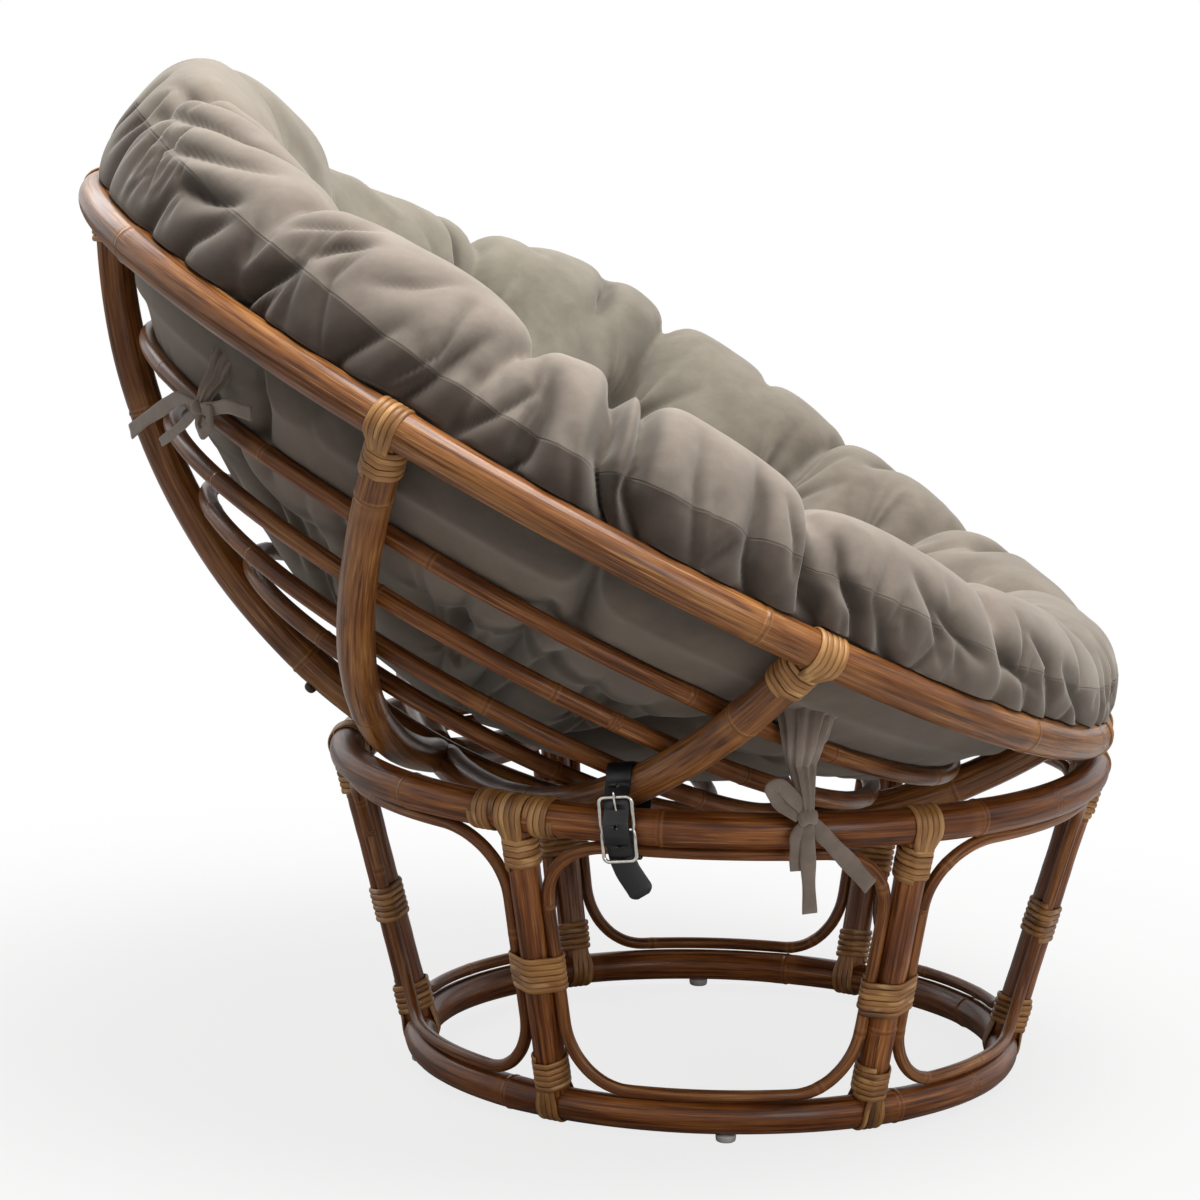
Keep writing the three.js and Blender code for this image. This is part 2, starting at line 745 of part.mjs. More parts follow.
// Frames for a band or cord along given places, with a hint for the side that faces out
function frameAlong(places, facing, shape = () => ({})) {
  return places.map((at, i) => {
    const before = places[Math.max(0, i - 1)];
    const after = places[Math.min(places.length - 1, i + 1)];
    const along = after.clone().sub(before).normalize();
    const across = along.clone().cross(facing(at, i)).normalize();
    const out = across.clone().cross(along).normalize();
    return { at, across, out, ...shape(i / (places.length - 1)) };
  });
}

const oval = (halfWidth, halfThickness, sides) => evenDirections(sides).map(
  (a) => [halfWidth * Math.cos(a), halfThickness * Math.sin(a)],
);

// Cushion: a closed skin about the bowl's axis, given by its radius and height from the rim's plane
const cushionSideShares = [[0.888, -0.062], [0.922, -0.02], [0.944, 0.027], [0.975, 0.075],
  [0.989, 0.13], [0.975, 0.19], [0.93, 0.238], [0.868, 0.243]];
const cushionSeatShares = [[0.8, 0.215], [0.735, 0.145], [0.665, 0.05], [0.57, -0.045],
  [0.46, -0.12], [0.32, -0.185], [0.15, -0.235]];
const cushionBottomAngles = [10, 22, 34, 45, 51.5];
const cushionMiddleShare = -0.25;

// Outer tufts, and how much higher or lower the roll's crest is at each angle
const tuftAngles = [20, 47, 72, 100, 131, 160, 188, 215, 241, 270, 300, 326, 353];
const crestRiseShares = [[0, -0.085], [20, -0.079], [40, -0.06], [60, -0.049], [85, -0.019],
  [100, -0.026], [115, 0], [140, 0], [155, 0.02], [170, 0.04], [180, 0.045], [195, 0.035],
  [208, -0.01], [220, -0.09], [232, -0.079], [245, -0.053], [258, -0.023], [270, -0.023],
  [285, -0.053], [300, -0.072], [315, -0.085], [330, -0.098], [345, -0.09], [360, -0.085]];
const lobeParts = 4;
const backAngle = 178;
const bulgeSpread = 34;

const clamp = (value) => Math.min(1, Math.max(0, value));
function crestRise(angle) {
  const next = crestRiseShares.findIndex(([a]) => a >= angle);
  const [b, high] = crestRiseShares[next];
  const [a, low] = crestRiseShares[Math.max(0, next - 1)];
  return rimRadius * (low + (high - low) * (b > a ? (angle - a) / (b - a) : 0));
}

// Angles of the skin's steps, and how far each is between two tufts
const cushionAngles = tuftAngles.flatMap((from, i) => {
  const to = tuftAngles[i + 1] ?? tuftAngles[0] + 360;
  return Array.from({ length: lobeParts }, (_, k) => ({
    angle: (from + ((to - from) * k) / lobeParts) % 360,
    between: k / lobeParts,
  }));
});

function cushionOutline() {
  const rounded = hoopArcRadius - hoopRodRadius - cushionSeatGap;
  const bottom = cushionBottomAngles.map((angle) => {
    const near = clamp((angle - 40) / 10);
    const radius = rounded - cushionLift * (1 - near);
    return { r: radius * Math.sin(angle * deg), h: rimDrop - radius * Math.cos(angle * deg), puffed: 0, rise: 0 };
  });
  const [, , [, lowest]] = cushionSideShares;
  const [[crestShare, crest]] = cushionSideShares.slice(-1);
  const [innerShare] = cushionSeatShares[5];
  const side = cushionSideShares.map(([r, h], i) => ({
    r: r * rimRadius,
    h: h * rimRadius,
    puffed: i > 3 ? 1 : 0,
    rise: clamp((h - lowest) / (crest - lowest)),
    bulge: clamp((h - lowest) * 16),
  }));
  const seat = cushionSeatShares.map(([r, h]) => ({
    r: r * rimRadius,
    h: h * rimRadius,
    puffed: 1,
    rise: clamp((r - innerShare) / (crestShare - innerShare)),
    bulge: clamp((r - innerShare) / (crestShare - innerShare)) ** 2,
    tufted: true,
  }));
  return [...bottom, ...side, ...seat];
}

function tuft(radius, angle) {
  const spots = tuftAngles.map((a) => [outerTuftRadius, a * deg]);
  evenDirections(4).forEach((a) => spots.push([innerTuftRadius, a]));
  return spots.reduce((depth, [r, a]) => {
    const square = radius ** 2 + r ** 2 - 2 * radius * r * Math.cos(angle - a);
    return depth + tuftDepth * Math.exp(-square / tuftSpread ** 2);
  }, 0);
}

function cushion() {
  const outline = cushionOutline();
  const place = ({ angle, between }, { r, h, puffed, rise, bulge = 0, tufted = false }) => {
    const puff = puffed * cushionPuff * (Math.sin(between * Math.PI) - 0.6);
    const back = cushionBulge * bulge * Math.exp(-(((angle - backAngle) / bulgeSpread) ** 2));
    const out = r + back + (tufted ? 0 : puff);
    const high = h + rise * (crestRise(angle) + puff) - (tufted ? tuft(r, angle * deg) : 0);
    return rimCentre.clone()
      .addScaledVector(bowlOutward(angle * deg), out)
      .addScaledVector(bowlUp, high);
  };
  const n = cushionAngles.length;
  const positions = outline.flatMap(
    (spot) => cushionAngles.flatMap((step) => place(step, spot).toArray()),
  );
  const low = inBowl(0, 0, hoopArcRadius - hoopRodRadius - cushionSeatGap - cushionLift);
  const high = rimCentre.clone().addScaledVector(bowlUp, cushionMiddleShare * rimRadius);
  positions.push(...low.toArray(), ...high.toArray());
  const index = [];
  const rows = outline.length;
  for (let i = 0; i < n; i += 1) {
    const next = (i + 1) % n;
    for (let k = 0; k + 1 < rows; k += 1) {
      const [a, b, c, d] = [k * n + i, k * n + next, (k + 1) * n + i, (k + 1) * n + next];
      index.push(a, b, c, b, d, c);
    }
    index.push(rows * n, next, i);
    index.push(rows * n + 1, (rows - 1) * n + i, (rows - 1) * n + next);
  }
  const g = new THREE.BufferGeometry();
  g.setAttribute('position', new THREE.BufferAttribute(new Float32Array(positions), 3));
  g.setIndex(index);
  return g;
}

// Strap: it lies in a leaning plane across the top ring.
// In that plane x runs outward from the base's axis, y up from the ring's centre and w along the ring.
function ribCrossing(angle) {
  let [low, high] = [0, ribEndPolar];
  for (let i = 0; i < 40; i += 1) {
    const middle = (low + high) / 2;
    const p = inBowl(angle, middle, ribArcRadius);
    if (Math.hypot(p.x, p.y) < topRingRadius) low = middle;
    else high = middle;
  }
  const p = inBowl(angle, low, ribArcRadius);
  return Math.atan2(-p.x, -p.y);
}

const strapTurn = ribCrossing(frontRibAngle * deg) + strapAside;
const strapPlane = {
  at: vec(0, 0, topRingHeight),
  x: outward(strapTurn),
  y: mix([zUp, Math.cos(strapLean)], [alongRing(strapTurn), Math.sin(strapLean)]),
  w: mix([alongRing(strapTurn), Math.cos(strapLean)], [zUp, -Math.sin(strapLean)]),
};
const inStrap = (x, y, w = 0) => mix(
  [strapPlane.at, 1],
  [strapPlane.x, x],
  [strapPlane.y, y],
  [strapPlane.w, w],
);

// Corners of what the strap goes round, as seen in its plane
function strapCorners() {
  const reach = topRingRadius;
  const slab = new THREE.BoxGeometry(reach, reach, strapWidth + seatGap * 2);
  slab.applyMatrix4(new THREE.Matrix4().makeBasis(strapPlane.x, strapPlane.y, strapPlane.w));
  const middle = inStrap(topRingRadius, 0);
  slab.translate(middle.x, middle.y, middle.z);
  const block = toSolid(slab);
  const corners = [];
  [topRing(), windowRod(Math.PI / 2), sideRib(frontRibAngle * deg, Math.PI, 1)].forEach((piece) => {
    const cut = toSolid(piece).intersect(block).getMesh();
    for (let i = 0; i < cut.vertProperties.length; i += cut.numProp) {
      const p = vec(...cut.vertProperties.slice(i, i + 3)).sub(strapPlane.at);
      if (p.dot(strapPlane.x) > 0) corners.push([p.dot(strapPlane.x), p.dot(strapPlane.y)]);
    }
  });
  return corners.filter(([x, y]) => x > topRingRadius - strapWidth * 4 && y > -topTubeRadius * 2.4);
}

const strapHalf = strapThickness / 2;
const strapPoly = aroundPoints(strapCorners(), evenDirections(20, 9 * deg), strapClearance + strapHalf);
const strapFront = Math.max(...strapPoly.map(([x]) => x));
const barX = strapFront + strapHalf + seatGap + barRadius;
const foldRadius = barRadius + seatGap + strapHalf;

function strapPath() {
  const fold = [-40, 4, 48, 92, 136, 180].map((a) => [
    barX + foldRadius * Math.cos(a * deg),
    foldRadius * Math.sin(a * deg),
  ]);
  const angleOf = ([x, y]) => Math.atan2(y, x - (topRingRadius - ribRadius));
  const round = [...strapPoly].sort((p, q) => angleOf(q) - angleOf(p));
  const below = round.filter((p) => angleOf(p) < -8 * deg && p[1] < -barRadius);
  const above = round.filter((p) => angleOf(p) >= 62 * deg);
  const under = barX - buckleWireRadius - seatGap - strapHalf;
  const over = barX + foldRadius + strapHalf * 2 + seatGap * 2;
  return {
    places: [
      ...fold,
      ...below,
      ...above,
      [under - strapHalf, buckleRise - strapThickness * 1.15, 0],
      [over, barRadius * 3, 0],
      [over, -barRadius * 3, 0],
      [under - strapHalf, strapThickness * 1.15 - buckleDrop, 0],
      [under - strapHalf * 0.5, -buckleDrop - strapTail * 0.35, -strapSlant * 0.3],
      [under, -buckleDrop - strapTail * 0.9, -strapSlant * 0.9],
      [under, -buckleDrop - strapTail, -strapSlant],
    ],
    under,
    over,
  };
}

const prongPath = () => {
  const { under } = strapPath();
  return [
    [barX, barRadius * 2],
    [barX - barRadius * 0.8, buckleRise * 0.33],
    [barX - barRadius * 1.2, buckleRise * 0.52],
    [under + strapThickness * 2.5, buckleRise * 0.845],
    [barX + buckleWireRadius + seatGap * 1.5 + prongRadius, buckleRise],
    [barX + buckleWireRadius + seatGap * 1.5 + prongRadius, buckleRise + prongTip],
  ];
};

function strap() {
  const { places } = strapPath();
  const flat = places.map(([x, y, w = 0]) => inStrap(x, y, w));
  const frames = flat.map((at, i) => {
    const one = i > 0 ? at.clone().sub(flat[i - 1]).normalize() : null;
    const two = i + 1 < flat.length ? flat[i + 1].clone().sub(at).normalize() : null;
    const tangent = mix([one ?? two, 1], [two ?? one, 1]).normalize();
    const out = strapPlane.w.clone().cross(tangent).normalize();
    const grow = 1 / Math.max(0.5, tangent.dot(one ?? two));
    const across = tangent.clone().cross(out).normalize();
    return { at, across, out, grow, wide: i + 1 < flat.length ? 1 : 0.8 };
  });
  const half = strapWidth / 2;
  const band = sweep(
    [[-half, -strapHalf], [half, -strapHalf], [half, strapHalf], [-half, strapHalf]],
    frames,
  );
  const prong = prongPath();
  const holes = [
    straightRod(inStrap(...prong[2]), inStrap(...prong[3]), strapHoleRadius, rodSides),
  ];
  const spot = (y) => {
    const at = places.findIndex(([, py], i) => i > places.length - 8 && py <= y);
    const [[ax, ay], [bx, by]] = [places[at - 1], places[at]];
    const share = (y - ay) / (by - ay);
    const centre = inStrap(ax + (bx - ax) * share, y);
    const normal = mix([strapPlane.x, ay - by], [strapPlane.y, bx - ax]).normalize();
    const shift = strapThickness * 1.2;
    return straightRod(
      centre.clone().addScaledVector(normal, shift),
      centre.clone().addScaledVector(normal, -shift),
      strapHoleRadius,
      rodSides,
    );
  };
  const second = buckleRise * 0.72;
  [1, 2].forEach((k) => holes.push(spot(second - k * strapHolePitch)));
  holes.push(spot(second + strapHolePitch));
  const slotSide = (foldRadius + strapHalf) * 2 + seatGap;
  const slot = new THREE.BoxGeometry(slotSide, slotSide, prongRadius * 2 + seatGap * 3);
  slot.applyMatrix4(new THREE.Matrix4().makeBasis(strapPlane.x, strapPlane.y, strapPlane.w));
  const slotAt = inStrap(barX, 0);
  slot.translate(slotAt.x, slotAt.y, slotAt.z);
  return cutBy(band, [...holes, slot]);
}

// Buckle: a bent wire frame with a bar across its middle
function buckleFrame() {
  const hw = buckleWidth / 2 - buckleWireRadius;
  const r = buckleCorner;
  const turns = [[1, 1], [-1, 1], [-1, -1], [1, -1]];
  const spots = [];
  turns.forEach(([sx, sy], k) => {
    const top = sy > 0 ? buckleRise : buckleDrop;
    for (let i = 0; i <= 2; i += 1) {
      const a = (k + i / 2) * (Math.PI / 2);
      spots.push([sx * (hw - r) + r * Math.cos(a), sy * (top - r) + r * Math.sin(a)]);
    }
    if (k % 2 === 1) {
      [1, 0, -1].forEach((step) => {
        const x = sx * (hw - (step === 0 ? bucklePinch : 0));
        spots.push([x, sy * step * -1 * barRadius * 3 * (k === 1 ? -1 : 1)]);
      });
    }
  });
  const ordered = spots
    .map(([x, y]) => ({ x, y, a: Math.atan2(y, x) }))
    .sort((p, q) => p.a - q.a);
  const places = ordered.map(({ x, y }) => inStrap(barX, y, x));
  const frames = places.map((at, i) => {
    const before = places[(i + places.length - 1) % places.length];
    const after = places[(i + 1) % places.length];
    const along = after.clone().sub(before).normalize();
    return { at, out: strapPlane.x, across: along.cross(strapPlane.x).normalize() };
  });
  const wire = sweep(circlePoints(buckleWireRadius, rodSides), frames, true);
  const bar = straightRod(
    inStrap(barX, 0, -hw + bucklePinch),
    inStrap(barX, 0, hw - bucklePinch),
    barRadius,
    rodSides,
  );
  return joined([wire, bar]);
}

function buckleProng() {
  const eyeRadius = barRadius + seatGap + prongRadius;
  const eye = new THREE.TorusGeometry(eyeRadius, prongRadius, rodSides - 1, 9);
  eye.applyMatrix4(new THREE.Matrix4().makeBasis(strapPlane.x, strapPlane.y, strapPlane.w));
  const middle = inStrap(barX, 0);
  eye.translate(middle.x, middle.y, middle.z);
  const places = prongPath().map(([x, y], i) => inStrap(i === 0 ? barX : x, i === 0 ? eyeRadius : y));
  const rod = sweep(circlePoints(prongRadius, rodSides - 1), frameAlong(places, () => strapPlane.w));
  return joined([eye, rod]);
}

// Cloth ties of the cushion, each with a gathered root, a knot, an ear and tails
function tie(root, knot, cords, facing) {
  const cord = (places, startWide, endWide) => sweep(
    oval(tieHalfWidth, tieHalfThickness, rodSides),
    frameAlong(places, facing, (share) => ({ wide: startWide + (endWide - startWide) * share })),
  );
  const ball = new THREE.SphereGeometry(tieKnotRadius, tubeSides, rodSides);
  ball.translate(knot.x, knot.y, knot.z);
  return joined([
    cord([...root, knot], 1.5, 0.6),
    ball,
    ...cords.map((places) => cord([knot, ...places], 0.6, 1)),
  ]);
}

// A place in the bowl by its two angles and its share of the ribs' arc
const tieSpot = ([angle, polar, share]) => inBowl(angle * deg, polar * deg, share * ribArcRadius);

// The front tie hangs outside the top ring. Its places are an angle from the knot,
// and shares of the knot's radius outward and of the tail's length upward.
const frontKnotAngle = 78.4;
const frontRootShares = [[56.2, 54.6, 0.94345], [56, 53.6, 0.9862], [54.2, 51.6, 1]];
const frontCordShares = [
  [[1.4, 0.3, 0.153], [4, 0.5, 0.353], [5.1, 0.5, 0.306]],
  [[-1.8, 0, -0.165], [-5.3, -0.2, -0.447], [-8.7, -0.2, -0.741]],
  [[0, 0, -0.247], [-0.3, -0.2, -0.612], [-0.6, -0.2, -1]],
  [[1.6, -0.1, -0.2], [1.4, -0.4, -0.412], [1.3, -0.4, -0.565]],
];

function frontTie() {
  const radius = topRingRadius + topTubeRadius + seatGap + tieKnotRadius;
  const height = topRingHeight + tieKnotLift;
  const near = ([turn, out, rise]) => onBase(
    (frontKnotAngle + turn) * deg,
    radius + out * tieKnotRadius,
    height + rise * tieTailLength,
  );
  const cords = frontCordShares.map((places) => places.map(near));
  return tie(frontRootShares.map(tieSpot), near([0, 0, 0]), cords, () => outward(frontKnotAngle * deg));
}

const rearKnotShare = [136.6, 53.6, 0.9931];
const rearRootShares = [[136, 57.9, 0.9495], [135.8, 56.6, 0.9655], [136, 55.2, 0.9845]];
const rearCordShares = [
  [[140.5, 53.3, 0.9966], [147.5, 49.7, 0.9948], [153.5, 47.2, 1.0052], [159, 45.1, 1.0224]],
  [[138.4, 52.1, 0.9931], [141.5, 49.9, 0.9948], [149.9, 45.8, 0.9966]],
  [[135.2, 53.9, 0.9966], [130.7, 56, 0.9931], [127.2, 56.7, 0.9931]],
];

function rearTie() {
  const cords = rearCordShares.map((places) => places.map(tieSpot));
  const facing = (at) => at.clone().sub(arcCentre).normalize();
  return tie(rearRootShares.map(tieSpot), tieSpot(rearKnotShare), cords, facing);
}

const group = new THREE.Group();
const looks = {
  rattan: [0x7d4a26, 0.42, 0],
  binding: [0xb5824a, 0.5, 0],
  velvet: [0x7f7266, 0.9, 0],
  leather: [0x17161a, 0.5, 0],
  nickel: [0xc9c6bf, 0.25, 1],
  plastic: [0xd8d6d0, 0.4, 0],
  rubber: [0x3a3430, 0.7, 0],
};

function put(name, geometry, look, parent = group) {
  const [color, roughness, metalness] = looks[look];
  const clean = tidy(geometry);
  clean.computeVertexNormals();
  const mesh = new THREE.Mesh(
    clean,
    new THREE.MeshStandardMaterial({ color, roughness, metalness }),
  );
  mesh.name = name;
  parent.add(mesh);
}

put('base_top_ring', topRing(), 'rattan');
put('base_bottom_ring', bottomRing(), 'rattan');
for (let i = 0; i < strutCount; i += 1) {
  const angle = (i * fullTurn) / strutCount;
  const near = i === 1 || i === 2;
  put(`base_strut_${i}`, strut(angle), 'rattan');
  put(`base_window_rod_${i}`, windowRod(angle + Math.PI / strutCount), 'rattan');
  put(`base_top_binding_${i}`, strutBinding(angle, true, 5, 5, !near, i === 2 ? 3.5 : 0), 'binding');
  put(`base_waist_binding_${i}`, waistBinding(angle, waistShares[i], 5, !near), 'binding');
  put(`base_foot_binding_${i}`, strutBinding(angle, false, 4, 5, !near), 'binding');
}
glideAngles.forEach((angle, i) => put(`base_glide_${i}`, glide(angle * deg), 'plastic'));

put('bowl_rim', rim(), 'rattan');
put('bowl_rim_band', rimBand(), 'binding');
put('bowl_centre_pole', centrePole(), 'rattan');
const mitre = (frontRibAngle + backRibAngle) / 2;
put('bowl_rib_front_left', sideRib(frontRibAngle * deg, mitre * deg, 1), 'rattan');
put('bowl_rib_back_left', sideRib(backRibAngle * deg, mitre * deg, -1), 'rattan');
put('bowl_rib_front_right', sideRib(-frontRibAngle * deg, -mitre * deg, -1), 'rattan');
put('bowl_rib_back_right', sideRib(-backRibAngle * deg, -mitre * deg, 1), 'rattan');
const hoopCounts = [[6, 4, 6, 6, 4, 6], [5, 4, 6, 6, 4, 5], [5, 3, 5, 5, 3, 5], [4, 3, 5, 5, 3, 4]];
hoopAngles.forEach((polar, i) => put(`bowl_hoop_${i}`, hoop(polar * deg, hoopCounts[i]), 'rattan'));
[[0, 'front'], [frontRibAngle, 'front_left'], [backRibAngle, 'back_left'], [180, 'back'],
  [-backRibAngle, 'back_right'], [-frontRibAngle, 'front_right']].forEach(([angle, where]) => {
  const near = where.endsWith('left');
  put(`bowl_binding_${where}`, ribBinding(angle * deg, 5, 5, !near), 'binding');
});
put('bowl_bumper', bumper(), 'rubber');
put('cushion', cushion(), 'velvet');
put('cushion_tie_front', frontTie(), 'velvet');
put('cushion_tie_rear', rearTie(), 'velvet');
put('strap', strap(), 'leather');
put('buckle_frame', buckleFrame(), 'nickel');
put('buckle_prong', buckleProng(), 'nickel');

// The origin goes to the floor under the middle of the whole chair
group.updateMatrixWorld(true);
const box = new THREE.Box3().setFromObject(group);
const shift = vec((box.min.x + box.max.x) / -2, (box.min.y + box.max.y) / -2, -box.min.z);
group.position.copy(shift);
group.updateMatrixWorld(true);

const show = (v) => v.toArray().map((n) => n.toFixed(2)).join(' ');
console.log('least gap of a winding to itself, mm:', smallestGap.toFixed(3));
console.log('shift of the whole chair, mm:', show(shift));
console.log('bowl hinge, mm:', show(hingePoint.clone().add(shift)));
console.log('buckle bar, mm:', show(inStrap(barX, 0).add(shift)), 'along', show(strapPlane.w));

export default group;
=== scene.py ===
# %% [markdown]
# # A round bowl chair of bent rattan
# A deep cushion lies in a bowl of rattan poles, and the bowl is strapped onto a flared ring
# base. The solids of every piece come first, as a fixed frame. They say where each piece is
# and how large it may be. This lesson then dresses them with rounder poles, wound strands,
# puffed velvet and soft ties.

# %% Load the frame
import math
import random

import bmesh
import bpy
import numpy as np
from mathutils import Matrix, Vector


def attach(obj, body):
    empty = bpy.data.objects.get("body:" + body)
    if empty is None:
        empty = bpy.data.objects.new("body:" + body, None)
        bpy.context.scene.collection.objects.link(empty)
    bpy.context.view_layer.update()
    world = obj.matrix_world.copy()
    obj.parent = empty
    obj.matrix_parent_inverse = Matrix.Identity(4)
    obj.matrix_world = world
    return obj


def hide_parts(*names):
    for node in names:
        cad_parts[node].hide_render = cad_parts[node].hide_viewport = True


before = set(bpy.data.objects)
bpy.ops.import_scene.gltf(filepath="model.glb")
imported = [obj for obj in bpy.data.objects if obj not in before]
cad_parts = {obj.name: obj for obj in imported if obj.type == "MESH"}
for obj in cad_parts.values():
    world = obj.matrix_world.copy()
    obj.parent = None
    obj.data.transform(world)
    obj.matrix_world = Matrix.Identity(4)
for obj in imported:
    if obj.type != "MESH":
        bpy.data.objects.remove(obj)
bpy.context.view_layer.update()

# %% [markdown]
# ## Camera
# The photograph was taken from the sitter's right, a little above the seat and almost level.
# Both rings of the base are seen as flat ellipses, and their width against their height gives
# the camera's elevation. A long lens keeps the far side of the bowl nearly as large as the near
# side. The chair isn't in the middle of the picture, so the lens is shifted rather than turned.

# %% Camera at the photograph's angle
mm = 0.001
shift_back = -116.55 * mm
distance = 3.8
elevation = math.radians(8.8966)
azimuth = math.radians(0.1419)
roll = math.radians(1.638)
aim_height = 0.45
picture, sensor = 1200, 36
focal_pixels = 3984.44
centre_across, centre_down = 724.02, 599.48

sight = Vector((-math.cos(elevation) * math.cos(azimuth),
                math.cos(elevation) * math.sin(azimuth),
                math.sin(elevation)))
target = Vector((0, shift_back, aim_height))
level = (-sight).cross(Vector((0, 0, 1))).normalized()
upright = level.cross(-sight)
right = level * math.cos(roll) + upright * math.sin(roll)
above = upright * math.cos(roll) - level * math.sin(roll)

lens = bpy.data.cameras.new("camera")
camera = bpy.data.objects.new("camera", lens)
bpy.context.scene.collection.objects.link(camera)
lens.sensor_width = sensor
lens.lens = focal_pixels / picture * sensor
lens.shift_x = (picture / 2 - centre_across) / picture
lens.shift_y = (centre_down - picture / 2) / picture
placing = [[right[i], above[i], sight[i], (target + sight * distance)[i]] for i in range(3)]
camera.matrix_world = Matrix(placing + [[0, 0, 0, 1]])
bpy.context.scene.camera = camera
print("lens:", round(lens.lens, 2), "mm")

# %% [markdown]
# ## Shader arithmetic
# A finish is easier to read as a formula than as a drawing of wired boxes. A Signal wraps one
# socket and overloads the arithmetic signs, so that `1 - mask` adds the Math node it needs.
# Colours go through Mix and vectors through Vector Math, because a Math node turns them grey.

# %% Signal and Bench
class Signal:
    """One output socket that takes part in arithmetic."""

    def __init__(self, bench, socket):
        self.bench = bench
        self.socket = socket

    def __add__(self, other):
        return self.bench.math("ADD", self, other)

    def __sub__(self, other):
        return self.bench.math("SUBTRACT", self, other)

    def __rsub__(self, other):
        return self.bench.math("SUBTRACT", other, self)

    def __mul__(self, other):
        return self.bench.math("MULTIPLY", self, other)

    def __pow__(self, other):
        return self.bench.math("POWER", self, other)

    __radd__ = __add__
    __rmul__ = __mul__


class Bench:
    """Makes the nodes of one material, or of a world."""

    def __init__(self, name, kept_in=None):
        self.material = (bpy.data.materials if kept_in is None else kept_in).new(name)
        self.material.use_nodes = True
        self.tree = self.material.node_tree
        self.tree.nodes.clear()

    def find(self, sockets, key):
        if isinstance(key, int):
            return sockets[key]
        fitting = [s for s in sockets if s.identifier == key]
        return (fitting or [s for s in sockets if s.name == key])[0]

    def node(self, kind, settings=None, sockets=None, out=0):
        made = self.tree.nodes.new(kind)
        for key, value in (settings or {}).items():
            if key == "stops":
                self.set_stops(made.color_ramp, value)
            else:
                setattr(made, key, value)
        for key, value in (sockets or {}).items():
            socket = self.find(made.inputs, key)
            if isinstance(value, Signal):
                self.tree.links.new(value.socket, socket)
            else:
                socket.default_value = value
        return Signal(self, self.find(made.outputs, out))

    def set_stops(self, ramp, stops):
        while len(ramp.elements) > 1:
            ramp.elements.remove(ramp.elements[-1])
        for i, (place, colour) in enumerate(stops):
            stop = ramp.elements[0] if i == 0 else ramp.elements.new(place)
            stop.position = place
            stop.color = colour

    def math(self, operation, *values):
        return self.node("ShaderNodeMath", {"operation": operation}, dict(enumerate(values)))

    def value_of(self, attribute):
        return self.node("ShaderNodeAttribute", {"attribute_name": attribute}, out="Fac")

    def place_of(self, attribute):
        return self.node("ShaderNodeAttribute", {"attribute_name": attribute}, out="Vector")

    def stretched(self, place, scale, offset=None):
        grown = self.node("ShaderNodeVectorMath", {"operation": "MULTIPLY"}, {0: place, 1: scale})
        if offset is None:
            return grown
        moved = self.node("ShaderNodeCombineXYZ", None, {0: offset, 1: offset, 2: offset})
        return self.node("ShaderNodeVectorMath", {"operation": "ADD"}, {0: grown, 1: moved})

    def noise(self, place, scale=1.0, detail=2.0, roughness=0.5):
        return self.node("ShaderNodeTexNoise", {"noise_dimensions": "3D"},
                         {"Vector": place, "Scale": scale, "Detail": detail, "Roughness": roughness})

    def between(self, value, low, high):
        return self.node("ShaderNodeMapRange", {"interpolation_type": "SMOOTHSTEP"},
                         {"Value": value, "From Min": low, "From Max": high})

    def ramp(self, value, stops):
        return self.node("ShaderNodeValToRGB", {"stops": stops}, {"Fac": value})

    def blend(self, factor, one, two, way="MIX"):
        return self.node("ShaderNodeMix", {"data_type": "RGBA", "blend_type": way},
                         {"Factor_Float": factor, "A_Color": one, "B_Color": two}, "Result_Color")

    def bump(self, height, distance, strength=1.0):
        return self.node("ShaderNodeBump", None,
                         {"Height": height, "Distance": distance, "Strength": strength})

    def done(self, sockets):
        shader = self.node("ShaderNodeBsdfPrincipled", None, sockets)
        self.node_output(shader)
        return self.material

    def node_output(self, shader, kind="ShaderNodeOutputMaterial"):
        output = self.tree.nodes.new(kind)
        self.tree.links.new(shader.socket, output.inputs["Surface"])


def paint(red, green, blue):
    """A colour as it is read from a screen, 0 to 255, made linear."""
    def linear(value):
        share = value / 255
        return share / 12.92 if share <= 0.04045 else ((share + 0.055) / 1.055) ** 2.4
    return (linear(red), linear(green), linear(blue), 1)


print("shader bench ready")

# %% [markdown]
# ## Rattan finish
# Rattan is a climbing palm. Its pole has fine straight fibres, no growth rings, and a scar every
# hand or two where a leaf grew. Each pole carries its own straightened coordinates as an
# attribute, so the fibres follow every bend. Stain gathers in the fibres, and the varnish over
# them gives a sharp gloss on top of a softer one.

